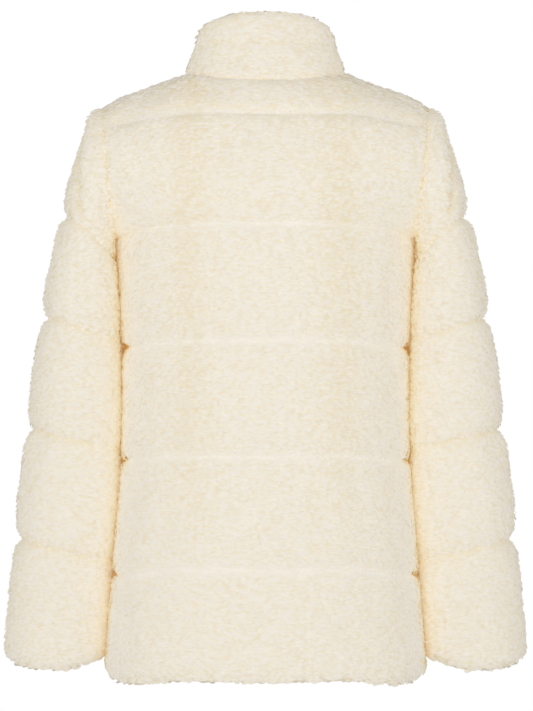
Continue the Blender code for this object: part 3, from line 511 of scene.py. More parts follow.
RIM_STEPS, RIM_VALUES = (0.12, 0.95, 4), (0.1, 0.0, -0.05)
DOWN = (0.0, 0.0, -1.0)
HEM_FIRST_ROW = 5.5  # the locks of the first row, this far up, reach down to the hem's edge
MIRROR = np.array([-1.0, 1.0, 1.0])


def pile_layer(ground, directions, values, closed=False, down=-1.0):
    """A grid of everything the locks need: place, outward, downward, and puff, press and shade"""
    out = grid_normals(ground, closed)
    out *= np.sign(np.sum(out * directions))
    agreement = np.sum(out * directions, axis=-1, keepdims=True)
    out = unit(out + np.where(agreement < HIDDEN_BELOW, WALL_PULL_HIDDEN, WALL_PULL) * directions)
    layer = np.concatenate([ground, out, down * np.gradient(ground, axis=0), values], axis=-1)
    return joined(layer, layer[:, :1], axis=1) if closed else layer


def rim_layer(inner_edge, outer_edge, direction, closed=False):
    """The same over the rim of a hem, a cuff or the collar's top, laid from the inside outwards"""
    steps = np.linspace(*RIM_STEPS)[:, None, None]
    grid = inner_edge * (1.0 - steps) + outer_edge * steps
    values = np.broadcast_to(RIM_VALUES, grid.shape)
    return pile_layer(grid, np.broadcast_to(direction, grid.shape), values, closed, down=1.0)


def pile_layers(inside, ground, out, values, closed=False, edge=0, way=DOWN, first=HEM_FIRST_ROW):
    """The pile over a wall and over the rim at one edge of it, each with the place of its first row"""
    rim = rim_layer(inside[edge], ground[edge], way, closed)
    return [(pile_layer(ground, out, values, closed), first), (rim, 0.0)]


def lock_places(layer, first, dice):
    """Roots of the locks: rows across the flow of the pile, each with its own start"""
    gaps = np.linalg.norm(np.diff(layer[..., :3], axis=0), axis=-1)
    widest = gaps.max(axis=1)
    reached = joined([0.0], np.cumsum(widest))
    found = []
    for number in range(int((reached[-1] - first) / LOCK_ROW_SPACING) + 1):
        at = np.interp(first + number * LOCK_ROW_SPACING, reached, np.arange(len(reached)))
        low = min(int(at), len(layer) - 2)
        part = at - low
        row = layer[low] * (1.0 - part) + layer[low + 1] * part
        length = distances(row[:, :3])
        count = max(int(length[-1] / LOCK_SPACING), 1)
        scatter = dice.uniform(-LOCK_SCATTER, LOCK_SCATTER, count)
        across = (np.arange(count) + scatter + LOCK_STAGGER * (number % 2) + LOCK_START) / count
        across = across[across < 1.0] * length[-1]
        place = np.stack([np.interp(across, length, value) for value in row.T], axis=-1)
        share = np.interp(across, length, gaps[low] / widest[low])
        found.append(place[dice.uniform(size=len(across)) < share])
    return np.concatenate(found)


def lock_mood(name, root, dice):
    smooth, size, seed, loose = LOCK_MOODS[name]
    return smooth * field(root, size, seed) + dice.normal(0.0, loose, len(root))


def lock_mesh(places, depth, dice):
    """Points and triangles of one crimped lock of pile at each place, with their tone and outward"""
    root, out, flow = places[:, :3], unit(places[:, 3:6]), places[:, 6:9]
    flow = unit(flow - out * np.sum(out * flow, axis=1)[:, None])
    puff, press, shade = places[:, 9:].T
    pressed = np.clip(PRESSED_SIZE + PUFFED_SIZE * puff, LEAST_SIZE, 1.0) * (1.0 + CONTACT_SIZE * press)
    count = len(root)
    swing = lock_mood("swing", root, dice)
    along = flow * np.cos(swing)[:, None] + np.cross(out, flow) * np.sin(swing)[:, None]
    across = np.cross(out, along)
    root = root + along * lock_mood("shift", root, dice)[:, None]
    size = np.clip(1.0 + lock_mood("size", root, dice), LEAST_SIZE, MOST_SIZE)
    beside_zip = np.where(root[:, 1] < 0.0, (np.abs(root[:, 0]) - ZIP_EDGE_X) / ZIP_TRIM, 1.0)
    size = size * pressed * np.clip(beside_zip, TRIMMED_SIZE, 1.0)
    curl = lock_mood("curl", root, dice)
    crimp = np.clip(1.0 + lock_mood("crimp", root, dice), LEAST_CRIMP, MOST_CRIMP)
    width = LOCK_WIDTH * size * dice.uniform(*LOCK_WIDTHS, count)
    lift = LIFT * pressed * (1.0 - press) * (dice.uniform(size=count) < LIFTED_SHARE)
    rings, tone = [], []
    for station, height, fatness in zip(LOCK_STATIONS, LOCK_HEIGHTS, LOCK_FATNESS):
        rise = depth * pressed / 2.0 * height * (crimp if height > 0 else 1.0) + lift * station**2
        bend = curl * math.sin(math.pi * station) + curl * 0.5 * station
        middle = root + along * (LOCK_LENGTH * size * station)[:, None] + across * bend[:, None]
        middle = middle + out * rise[:, None]
        if fatness == 0.0:
            rings.append(middle[:, None])
            tone.append([station])
            continue
        half = across * (width * fatness / 2.0)[:, None]
        crest = middle + out * (LOCK_CREST * fatness * crimp)[:, None]
        sunk = out * LOCK_SINK
        rings.append(np.stack([middle - half - sunk, crest, middle + half - sunk], axis=1))
        tone.append([base + TIP_TONE * station for base in (LOCK_TONE, CREST_TONE, LOCK_TONE)])
    points = np.concatenate(rings, axis=1)
    brightness = np.clip(TONE_SHARE + CRIMP_TONE * (crimp - 1.0), LEAST_TONE, MOST_TONE)
    tone = np.concatenate(tone) * brightness[:, None]
    first = points.shape[1] * np.arange(count)[:, None, None]
    triangles = (LOCK_FACES[None] + first).reshape(-1, 3)
    outward = np.repeat(out, points.shape[1], axis=0)
    return points.reshape(-1, 3), triangles, (tone + shade[:, None]).ravel(), outward


def pile_piece(name, layers, seed, flip=1.0):
    """All the locks of a piece as one mesh; each layer comes with the place of its first row"""
    dice = np.random.default_rng(seed)
    places = np.concatenate([lock_places(layer, first, dice) for layer, first in layers])
    points, triangles, tone, outward = lock_mesh(places, PILE_DEPTH, dice)
    if flip < 0:
        points, outward, triangles = points * MIRROR, outward * MIRROR, triangles[:, ::-1]
    return mesh_piece(name, points, [triangles], [cream_pile], tone, outward)


# Colours of the pile, and a painted glow, emission that stands in for the light it passes on inside itself
IVORY_TIP = (0.922, 0.872, 0.78, 1.0)
WARM_ROOT = (0.872, 0.782, 0.585, 1.0)
# where painted shade takes the tone below the roots, the pile turns this deep golden
GOLDEN_PAINTED_SHADE = (0.46, 0.26, 0.08, 1.0)
SWAY_SCALE, SWAY = 60.0, (0.005, 0.005, 0.005)  # makes the crimp and its painted shade wander
CRIMP_SCALE = (95.0, 95.0, 520.0)  # the crimp and its painted shade lie level
BLOTCH_SCALE, BLOTCHES = 55.0, 0.1
CRIMP_HOLLOW_SHADE = (0.36, 0.62, -0.08, 0.4)  # painted shade in the crimp's hollows: the crimp from and to here shifts the tone by this to that
ROOT_TO_TIP = (0.1, 0.95)
DEEP_TO_ROOT = (-0.9, -0.05)
PAINTED_GLOW = 0.5  # painted glow: emission standing in for daylight that soft pile passes on into its deepest places
OPEN_PAINTED_GLOW = 0.3  # and how much of that painted glow its open places get
TURNED_AWAY_PAINTED_GLOW = 0.8  # painted glow standing in for what the sides of locks that face away get through the locks themselves
FACING_AWAY = (1.0, -0.2)  # agreement of a side with the cloth, from facing with it to facing away
KNIT_SCALE = (620.0, 620.0, 420.0)
KNIT_LOOPS = (0.87, 0.81, 0.69, 1.0), (0.75, 0.67, 0.53, 1.0)


def feed(tree, inputs, given):
    """Gives sockets their values; one that comes from another node is linked"""
    for name, value in given.items():
        if isinstance(value, bpy.types.NodeSocket):
            tree.links.new(value, inputs[name])
        else:
            inputs[name].default_value = value


def add_node(tree, kind, given=None, **settings):
    node = tree.nodes.new("ShaderNode" + kind)
    for name, value in settings.items():
        setattr(node, name, value)
    feed(tree, node.inputs, given or {})
    return node


def ranged(tree, value, start, end, low=0.0, high=1.0):
    """The value, taken from start to end and spread from low to high"""
    given = {"Value": value, "From Min": start, "From Max": end, "To Min": low, "To Max": high}
    return add_node(tree, "MapRange", given).outputs["Result"]


def mixed(tree, factor, first, second):
    given = {"Factor": factor, "A": first, "B": second}
    return add_node(tree, "Mix", given, data_type="RGBA").outputs["Result"]


def scaled(tree, colour, scale):
    given = {0: colour, "Scale": scale}
    return add_node(tree, "VectorMath", given, operation="SCALE").outputs["Vector"]


def object_place(tree):
    return add_node(tree, "TexCoord").outputs["Object"]


def bump_from(tree, height, strength, distance, invert=False):
    given = {"Height": height, "Strength": strength, "Distance": distance}
    return add_node(tree, "Bump", given, invert=invert).outputs["Normal"]


def new_finish(name):
    """A material, its nodes, and the inputs of its own shader"""
    finish = bpy.data.materials.new(name)
    finish.use_nodes = True
    return finish, finish.node_tree, finish.node_tree.nodes["Principled BSDF"].inputs


def pile_tone_group():
    """Colour of the pile, from painted deep golden shade through warm roots to ivory tips, with painted
    shade in its crimp's hollows; a painted glow of light inside it; and the crimp itself for the bump"""
    tree = bpy.data.node_groups.new("pile tone", "ShaderNodeTree")
    for name in ("Tip Colour", "Root Colour", "Deep Colour"):
        tree.interface.new_socket(name, in_out="INPUT", socket_type="NodeSocketColor")
    for name, kind in (("Colour", "Color"), ("Glow", "Color"), ("Crimp", "Float")):
        tree.interface.new_socket(name, in_out="OUTPUT", socket_type="NodeSocket" + kind)
    given, result = tree.nodes.new("NodeGroupInput"), tree.nodes.new("NodeGroupOutput")
    pile = add_node(tree, "Attribute", attribute_name="pile").outputs["Fac"]
    place = object_place(tree)
    sway = add_node(tree, "TexNoise", {"Vector": place, "Scale": SWAY_SCALE, "Detail": 1.0})
    swayed = {0: sway.outputs["Color"], 1: SWAY, 2: place}
    swayed = add_node(tree, "VectorMath", swayed, operation="MULTIPLY_ADD")
    flat = add_node(tree, "Mapping", {"Vector": swayed.outputs["Vector"], "Scale": CRIMP_SCALE})
    crimp = {"Vector": flat.outputs["Vector"], "Scale": 1.0, "Detail": 2.0, "Roughness": 0.6}
    crimp = add_node(tree, "TexNoise", crimp).outputs["Fac"]
    blotches = {"Vector": place, "Scale": BLOTCH_SCALE, "Detail": 2.0}
    blotches = add_node(tree, "TexNoise", blotches).outputs["Fac"]
    # Painted shade: the tone is darker in the hollows of the crimp
    crimp_shaded = add_node(tree, "Math", {0: ranged(tree, crimp, *CRIMP_HOLLOW_SHADE), 1: pile}).outputs[0]
    tone = {0: blotches, 1: BLOTCHES, 2: crimp_shaded}
    tone = add_node(tree, "Math", tone, operation="MULTIPLY_ADD").outputs[0]
    open_share = ranged(tree, tone, *DEEP_TO_ROOT)
    deep = given.outputs["Deep Colour"]
    roots = mixed(tree, open_share, deep, given.outputs["Root Colour"])
    colour = mixed(tree, ranged(tree, tone, *ROOT_TO_TIP), roots, given.outputs["Tip Colour"])
    # Painted glow: deep golden in the deepest places, a share of the colour elsewhere, more on sides facing
    # away
    glow = mixed(tree, open_share, deep, scaled(tree, colour, OPEN_PAINTED_GLOW))
    bent = add_node(tree, "NewGeometry")
    agreement = {0: bent.outputs["Normal"], 1: bent.outputs["True Normal"]}
    agreement = add_node(tree, "VectorMath", agreement, operation="DOT_PRODUCT").outputs["Value"]
    turned_away = ranged(tree, agreement, *FACING_AWAY, 0.0, TURNED_AWAY_PAINTED_GLOW)
    turned_away_glow = scaled(tree, colour, turned_away)
    glow = add_node(tree, "VectorMath", {0: glow, 1: turned_away_glow}).outputs["Vector"]
    feed(tree, result.inputs, {"Colour": colour, "Glow": glow, "Crimp": crimp})
    return tree


def pile_material(name, tip, root, deep):
    finish, tree, shader = new_finish(name)
    colours = {"Tip Colour": tip, "Root Colour": root, "Deep Colour": deep}
    tone = add_node(tree, "Group", colours, node_tree=pile_tone).outputs
    feed(tree, shader, {
        "Roughness": 0.95,
        "Specular IOR Level": 0.0,
        "Base Color": tone["Colour"],
        "Emission Color": tone["Glow"],
        "Emission Strength": PAINTED_GLOW,
        "Normal": bump_from(tree, tone["Crimp"], 0.6, 0.0012),
    })
    return finish


def knit_material():
    """The knitted backing on the inside: fine loops"""
    finish, tree, shader = new_finish("knitted backing")
    flat = add_node(tree, "Mapping", {"Vector": object_place(tree), "Scale": KNIT_SCALE})
    loops = {"Vector": flat.outputs["Vector"], "Scale": 1.0}
    loops = add_node(tree, "TexVoronoi", loops).outputs["Distance"]
    feed(tree, shader, {
        "Roughness": 0.9,
        "Specular IOR Level": 0.2,
        "Base Color": mixed(tree, loops, *KNIT_LOOPS),
        "Normal": bump_from(tree, loops, 0.5, 0.0005, invert=True),
    })
    return finish


pile_tone = pile_tone_group()
cream_pile = pile_material("cream curly pile", IVORY_TIP, WARM_ROOT, GOLDEN_PAINTED_SHADE)
knit_backing = knit_material()
cloth = [cream_pile, knit_backing]


def whole_back(grid, flip):
    return joined((grid * flip)[:, :0:-1], grid, axis=1)


back_half = wall_of_half(1)
back_inside, back_outside, back_out = (whole_back(grid, MIRROR) for grid in back_half[:3])
back_values = whole_back(back_half[3], 1.0)
back_ground = uneven_ground(back_outside, back_out, back_values)
back = wall_piece("back_quilted", back_inside, back_ground, back_values[..., 2], cloth)
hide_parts("back")
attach(back, "jacket")
back_layers = pile_layers(back_inside, back_ground, back_out, back_values)
back_pile = pile_piece("back_pile", back_layers, 21)
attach(back_pile, "jacket")

# ---------------------------------------------------------------- fronts
# Left and right front, cut like the back and quilted along the same four lines. Their edges meet the
# zip in the middle and are otherwise plain.

BOTH_SIDES = (("left", np.ones(3)), ("right", MIRROR))

front_inside, front_outside, front_out, front_values = wall_of_half(-1)
front_ground = uneven_ground(front_outside, front_out, front_values)
front_layers = pile_layers(front_inside, front_ground, front_out, front_values)
for side, flip in BOTH_SIDES:
    grids = front_inside * flip, front_ground * flip
    front = wall_piece(f"front_{side}_quilted", *grids, front_values[..., 2], cloth)
    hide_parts(f"front_{side}")
    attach(front, "jacket")
    front_pile = pile_piece(f"front_{side}_pile", front_layers, 31 + len(side), flip[0])
    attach(front_pile, "jacket")

# ---------------------------------------------------------------- sleeves
# Each sleeve is one quilted tube with its seam under the arm, set into the armhole. Its head is eased in
# with a soft fold front and back, and four lines of quilting run round it down to the open cuff.

SLEEVE_PUFF = 6.5
SLEEVE_FLATNESS = 0.86
SLEEVE_WAVES = ((2.0, 0.6), (3.0, 1.7))
SLEEVE_CONTACT_FROM, SLEEVE_PRESS_STEPS = 0.7, 2.0  # it presses fully from this step of the cap on
SEAM_TURN = 1.4  # steps of the cap over which the wall turns out of the armhole's slant
SEAM_LEAN, SEAM_LEAN_TO = 0.95, 1.5  # keeps the head low where it leaves the armhole seam
HEAD_FLAT, HEAD_FLAT_FROM, HEAD_FLAT_SPAN = 0.45, 0.45, 0.4
HEAD_FOLD_DEPTH, HEAD_FOLD_WIDTH = 3.5, 3.0
HEAD_FOLD_Z, HEAD_FOLD_X = (-164.0, -140.0, -50.0), (196.0, 211.5, 212.0)
HEAD_FOLD_STEP, HEAD_FOLD_END = 0.5, 6.0
HEAD_FOLD_SIDE, HEAD_FOLD_SIDE_SPAN = 0.4, 0.35  # it runs out on top of the shoulder
# painted shade along the head's fold, and along the sleeve's quilting lines
PAINTED_FOLD_SHADE = 0.75
PAINTED_SLEEVE_LINE_SHADE = 0.35
CUFF_IN, CUFF_IN_FROM = 13.0, 0.62  # how far the cuff's corners are drawn up
CUFF_OUT, CUFF_OUT_TO = 3.5, 0.12
SLEEVE_RINGS = {  # at the six steps down the cap, the last of them the first quilting line, and so on
    "outer_x": (188.0, 191.5, 197.5, 205.0, 213.5, 218.5, 241.5, 258.5, 273.0, 286.5),
    "outer_z": (-46.5, -61.0, -82.0, -107.0, -133.0, -155.0, -270.0, -396.0, -522.0, -667.0),
    "inner_x": (177.0, 182.5, 185.8, 185.2, 185.4, 186.8, 182.2, 181.6, 190.3, 200.8),
    "inner_z": (-167.5, -172.5, -180.0, -188.5, -197.0, -206.0, -292.0, -417.0, -544.0, -673.0),
    "half_depth": (74.0, 74.0, 74.0, 73.0, 72.0, 71.0, 63.0, 55.0, 49.0, 44.0),
    "forward": (1.5, 1.5, 1.0, 1.0, 0.5, 0.0, 3.0, 7.0, 13.0, 21.0),
    "drop": (1.0, 1.15, 1.35, 1.6, 1.85, 2.0, 1.3, 1.1, 1.0, 1.0),
}
CAP_STEPS, CAP_ROWS = 6, 4  # rows of points from one step of the cap to the next
SLEEVE_COLUMNS = 88


def sleeve_rings():
    """Each ring's values, its place along the cap or the tiers, and its share of the puff"""
    cap_at = np.arange(1, CAP_STEPS * CAP_ROWS + 1) / CAP_ROWS
    tier_at = np.arange(1, SIDE_ROWS + 1) / ROWS_PER_TIER
    rings = {}
    for name, values in SLEEVE_RINGS.items():
        cap = np.interp(cap_at, range(1, CAP_STEPS + 1), values[:CAP_STEPS])
        tiers = through(range(TIERS + 1), values[CAP_STEPS - 1 :], tier_at)
        rings[name] = joined(cap, tiers)
    from_cuff = TIERS - tier_at
    puffs = joined(puffed(cap_at / CAP_STEPS), puffed(from_cuff % 1.0, from_cuff < 1.0))
    return rings, joined(cap_at, CAP_STEPS + tier_at), puffs


def sleeve_inside_points(rings, places, armhole, sine, toward_body):
    """Ovals from the rings' values, and before the first of them a blend out of the armhole"""
    ring = {name: values[:, None] for name, values in rings.items()}
    x = ring["outer_x"] + (ring["inner_x"] - ring["outer_x"]) * toward_body
    y = ring["half_depth"] * np.sign(sine) * np.abs(sine) ** SLEEVE_FLATNESS - ring["forward"]
    z = ring["outer_z"] + (ring["inner_z"] - ring["outer_z"]) * toward_body ** ring["drop"]
    blend = held(places)[:, None, None]
    return joined(armhole[None], armhole * (1.0 - blend) + stacked(x, y, z) * blend)


def sleeve_wall():
    """Inside points, ground under the pile, outward directions, and puff, press and shade of the left
    sleeve, from the armhole to the cuff"""
    turns = np.arange(SLEEVE_COLUMNS) / SLEEVE_COLUMNS * 2.0 * math.pi
    sine, toward_body = np.sin(turns), (1.0 - np.cos(turns)) / 2.0
    behind = turns <= math.pi
    angles = math.pi / 2 - np.where(behind, turns, 2.0 * math.pi - turns)
    armhole = armhole_edge(angles, np.where(behind, ARMHOLE_BACK, -ARMHOLE_FRONT))
    rings, places, puffs = sleeve_rings()
    inside = sleeve_inside_points(rings, places, armhole, sine, toward_body)
    places = joined([0.0], places)
    true_normals = -grid_normals(inside, closed=True)
    pull = held(1.0 - places / SEAM_TURN)[:, None, None]
    mitres = armhole_mitres(angles, np.where(behind, 1.0, -1.0))
    normals = turned(true_normals, mitres[None], pull)
    normals[-1, :, 2] = 0.0
    normals = unit(normals)
    lean = leaning(normals, true_normals)
    by_seam = places < SEAM_LEAN_TO
    lean[by_seam] = np.maximum(lean[by_seam], SEAM_LEAN)

    puff = joined([0.0], puffs)[:, None] * np.ones(len(turns))
    contact = eased((toward_body - SLEEVE_CONTACT_FROM) / (1.0 - SLEEVE_CONTACT_FROM))
    tiers = places >= CAP_STEPS
    tiers[-1] = False
    puff[tiers] = filled_by_contact(puff, contact)[tiers]
    waves = sum(np.sin(often * turns + start) for often, start in SLEEVE_WAVES)
    puff = SLEEVE_PUFF * puff * (1.0 + UNEVEN_PUFF * waves)
    puff[places < CAP_STEPS] *= 1.0 - HEAD_FLAT * eased((toward_body - HEAD_FLAT_FROM) / HEAD_FLAT_SPAN)
    surface = inside + normals * (PRESSED_WALL + puff)[..., None]
    fold = near(surface[..., 0] - np.interp(surface[..., 2], HEAD_FOLD_Z, HEAD_FOLD_X), HEAD_FOLD_WIDTH)
    from_end = surface[..., 2] - HEAD_FOLD_Z[0] - HEAD_FOLD_END
    fold *= eased(places - HEAD_FOLD_STEP)[:, None] * eased(from_end / HEAD_FOLD_END)
    fold *= eased((np.abs(sine) - HEAD_FOLD_SIDE) / HEAD_FOLD_SIDE_SPAN)
    puff -= HEAD_FOLD_DEPTH * fold
    from_cuff = CAP_STEPS + TIERS - places
    thickness = (PRESSED_WALL + puff - rounded_edge(from_cuff)[:, None]) / lean
    thickness[0] = PRESSED_WALL
    corner = CUFF_IN * eased((toward_body - CUFF_IN_FROM) / (1.0 - CUFF_IN_FROM))
    corner += CUFF_OUT * eased((CUFF_OUT_TO - toward_body) / CUFF_OUT_TO)
    inside[..., 2] += corner * eased(1.0 - from_cuff / CORNER_SPAN)[:, None]
    outside = inside + normals * thickness[..., None]
    for grid in (inside, outside):
        grid[0, :, 0] -= SEAM_OVERLAP / 2.0
    press = contact * held(places / SLEEVE_PRESS_STEPS)[:, None]
    share = puff / SLEEVE_PUFF
    # Painted shade in the slit, along the quilting lines and in the head's fold
    shade = painted_slit_shade(press, normals) - PAINTED_SLEEVE_LINE_SHADE * held(LINE_FROM_PUFF * share)
    shade -= PAINTED_FOLD_SHADE * fold
    values = stacked(share, press, shade)
    return inside, uneven_ground(outside, normals, values), normals, values


sleeve_grids = sleeve_wall()
sleeve_inside, sleeve_ground, _, sleeve_values = sleeve_grids
sleeve_layers = pile_layers(*(grid[::-1] for grid in sleeve_grids), closed=True)
for side, flip in BOTH_SIDES:
    grids = sleeve_inside * flip, sleeve_ground * flip
    sleeve = wall_piece(f"sleeve_{side}_quilted", *grids, sleeve_values[..., 2], cloth, closed=True)
    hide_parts(f"sleeve_{side}")
    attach(sleeve, "jacket")
    sleeve_pile = pile_piece(f"sleeve_{side}_pile", sleeve_layers, 41 + len(side), flip[0])
    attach(sleeve_pile, "jacket")

# ---------------------------------------------------------------- collar
# The stand collar is one padded piece from one front edge round the neck to the other, sewn into the
# neck seam and turned in along its top.

COLLAR_PUFF = 3.5
COLLAR_HALF_WIDTH, COLLAR_BACK, COLLAR_FRONT = 63.5, 50.0, 62.0
COLLAR_BACK_Z, COLLAR_SIDE_Z, COLLAR_DIP = 76.0, 60.0, 1.3
COLLAR_LEAN = 0.7
COLLAR_TURN = 0.14  # share of its height over which the wall turns out of the neck seam's slant
COLLAR_FOLD_Z, COLLAR_FOLD_WIDTH, COLLAR_FOLD_DEPTH = 40.0, 4.0, 2.0  # the soft fold across its back
# the first is painted shade along the collar's fold
PAINTED_COLLAR_FOLD_SHADE, COLLAR_FOLD_UNEVEN, COLLAR_FOLD_BUMPS = 0.25, 0.4, (30.0, 7)  # their size and seed
COLLAR_ROWS, COLLAR_CROWDING = 26, 1.25


def collar_wall():
    """The same for the collar, from the neck seam to its top, right front edge to left front edge"""
    left = joined(neck_turns(-1), neck_turns(1)[::-1][1:])
    turns = joined(left, -left[-2::-1])
    side = np.where(turns < 0, -1.0, 1.0)
    low = neck_edge(np.abs(turns)) * stacked(side, np.ones_like(side), np.ones_like(side))
    forward, backward = held(-np.cos(turns)), held(np.cos(turns))
    least_x = np.where(forward > 0.5, ZIP_EDGE_X, 0.0)
    top_x = side * np.maximum(np.abs(COLLAR_HALF_WIDTH * np.sin(turns)), least_x)
    top_z = COLLAR_BACK_Z - (COLLAR_BACK_Z - COLLAR_SIDE_Z) * (1.0 - np.cos(turns)) ** COLLAR_DIP
    high = stacked(top_x, COLLAR_BACK * backward - COLLAR_FRONT * forward, top_z)
    steps = 1.0 - np.linspace(1.0, 0.0, COLLAR_ROWS) ** COLLAR_CROWDING
    part = steps[:, None, None]
    inside = low * (1.0 - part) + high * part
    inside[..., :2] += (high - low)[:, :2] * (part**COLLAR_LEAN - part)
    true_normals = grid_normals(inside)
    mitres = neck_mitres(np.abs(turns))
    mitres[:, 0] *= side
    pull = held(1.0 - steps / COLLAR_TURN)[:, None, None]
    normals = turned(true_normals, mitres[None], pull)
    normals[:, [0, -1], 0] = 0.0
    normals = unit(normals)
    lean = leaning(normals, true_normals)
    lean[0] = 1.0
    puff = COLLAR_PUFF * puffed(1.0 - steps, np.ones(len(steps), bool))[:, None]
    along = distances(inside[0])
    puff = puff * thinned_at_zip(np.minimum(along, along[-1] - along))
    fold = near(inside[..., 2] - COLLAR_FOLD_Z, COLLAR_FOLD_WIDTH) * np.sqrt(backward)
    fold *= 1.0 - COLLAR_FOLD_UNEVEN + COLLAR_FOLD_UNEVEN * field(inside, *COLLAR_FOLD_BUMPS)
    thickness = PRESSED_WALL + puff - rounded_edge(1.0 - steps)[:, None] - COLLAR_FOLD_DEPTH * fold
    outside = inside + normals * (thickness / lean)[..., None]
    for grid in (inside, outside):
        grid[0] += SEAM_OVERLAP / 2.0 * below_neck(turns, mitres)
    # the fold gets painted shade
    values = stacked(puff / COLLAR_PUFF, np.zeros_like(puff), -PAINTED_COLLAR_FOLD_SHADE * fold)
    return inside, uneven_ground(outside, normals, values), normals, values


collar_grids = collar_wall()
collar_inside, collar_ground, _, collar_values = collar_grids
collar = wall_piece("collar_quilted", collar_inside, collar_ground, collar_values[..., 2], cloth)
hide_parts("collar")
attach(collar, "jacket")
collar_layers = pile_layers(*collar_grids, edge=-1, way=(0.0, 0.0, 1.0), first=0.0)
collar_pile = pile_piece("collar_pile", collar_layers, 51)
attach(collar_pile, "jacket")

# ---------------------------------------------------------------- zip
# The front fastening: a woven tape sewn inside each front edge, and on them two rows of small brass teeth
# that mesh down the middle. A box holds the lower end, and the slider stands near the top of the closed
# zip with its pull tab hanging down.

TAPE_EDGE_X = 3.4
TAPE_COVERED = 13.0  # width of tape under the front
TAPE_THICKNESS, TAPE_GAP = 0.9, 0.4
TAPE_BEAD, TAPE_BEAD_WIDTH = 0.35, 1.5  # the woven edge that holds the teeth stands out
TAPE_END_MARGIN = 10.0
TAPE_STATIONS = 240
TAPE_COLUMNS = (0.0, 1.1, 1.8)  # across the bead, from the toothed edge
TAPE_DARK, TAPE_PALE = (0.62, 0.53, 0.38, 1.0), (0.80, 0.72, 0.57, 1.0)
BRASS_DARKER, BRASS_SMOOTHER, BRASS_ROUGHER = 0.8, 0.08, 0.12
BOX_LENGTH = 9.0
SLIDER_BELOW_TOP, SLIDER_HALF_LENGTH, SLIDER_POST = 22.0, 8.0, 3.8
TOOTH_PITCH = 2.6
# Across from the tooth's foot to its head, and half its length along the zip there
TOOTH_PLAN = ((2.9, 0.55), (2.2, 0.7), (1.1, 0.62), (0.2, 0.42), (-0.45, 0.5), (-0.85, 0.3))
TOOTH_LEVELS = ((-1.15, 0.72), (-0.8, 1.0), (0.8, 1.0), (1.15, 0.72))  # height, and share of the plan
FRAME_REACH = 1.5  # how far before and after a point its direction along the zip is taken


def weave_material():
    """Plain twill tape: fine slanting ribs"""
    finish, tree, shader = new_finish("zip tape twill")
    ribs = {"Vector": object_place(tree), "Scale": 260.0, "Distortion": 1.5}
    ribs = add_node(tree, "TexWave", ribs, wave_type="BANDS", bands_direction="DIAGONAL").outputs["Fac"]
    feed(tree, shader, {
        "Roughness": 0.8,
        "Specular IOR Level": 0.25,
        "Base Color": mixed(tree, ribs, TAPE_DARK, TAPE_PALE),
        "Normal": bump_from(tree, ribs, 0.6, 0.0002),
    })
    return finish


def brass_material(name, base, roughness):
    """Satin brass, a little duller and darker in patches where it is handled"""
    finish, tree, shader = new_finish(name)
    wear = {"Vector": object_place(tree), "Scale": 420.0, "Detail": 4.0}
    wear = add_node(tree, "TexNoise", wear).outputs["Fac"]
    darker = tuple(BRASS_DARKER * value for value in base[:3]) + (1.0,)
    smoothest, roughest = roughness - BRASS_SMOOTHER, roughness + BRASS_ROUGHER
    feed(tree, shader, {
        "Metallic": 1.0,
        "Base Color": mixed(tree, wear, base, darker),
        "Roughness": ranged(tree, wear, 0.0, 1.0, smoothest, roughest),
    })
    return finish


def on_line(line, at):
    """Points this far along a line beside the front edge"""
    return np.stack([np.interp(at, zip_lengths, line[:, axis]) for axis in range(3)], axis=-1)


def zip_frames(at):
    """Points of the left front edge at these distances from the hem, and which way is along and outward"""
    along = on_line(zip_edge, at + FRAME_REACH) - on_line(zip_edge, at - FRAME_REACH)
    along = unit(along * np.array([0.0, 1.0, 1.0]))
    outward = stacked(np.zeros(len(along)), -along[:, 2], along[:, 1])
    return on_line(zip_edge, at), along, outward


def tape_grids():
    """Inside and outside points of the left tape, from its toothed edge to under the front"""
    at = np.linspace(TAPE_END_MARGIN, zip_lengths[-1] - TAPE_END_MARGIN / 2.0, TAPE_STATIONS)
    points, _, outward = zip_frames(at)
    across = on_line(zip_beside, at) - points
    across = across / across[:, :1]
    bare = [TAPE_EDGE_X + step for step in TAPE_COLUMNS]
    reaches = joined(bare, [ZIP_EDGE_X], ZIP_EDGE_X + np.linspace(3.0, TAPE_COVERED, 4))
    grid = points[:, None] + across[:, None] * (reaches - ZIP_EDGE_X)[None, :, None]
    grid[:, reaches < ZIP_EDGE_X] = points[:, None]
    grid[..., 0] = reaches
    bead = np.where(reaches < TAPE_EDGE_X + TAPE_BEAD_WIDTH, TAPE_BEAD, 0.0)[None, :, None]
    inner = grid - outward[:, None] * (TAPE_GAP + TAPE_THICKNESS + bead)
    outer = grid - outward[:, None] * (TAPE_GAP - bead)
    return inner, outer, at[-1] - at[0]


def tooth_faces(count, levels):
    """Quads round one tooth, and triangles over its two ends"""
    steps = np.arange(count)
    following = (steps + 1) % count
    ring = stacked(steps, following, following + count, steps + count)
    quads = np.concatenate([ring + level * count for level in range(levels - 1)])
    fans = stacked(np.zeros(count - 2, int), steps[1:-1], steps[2:])
    return quads, joined(fans[:, ::-1], fans + count * (levels - 1))


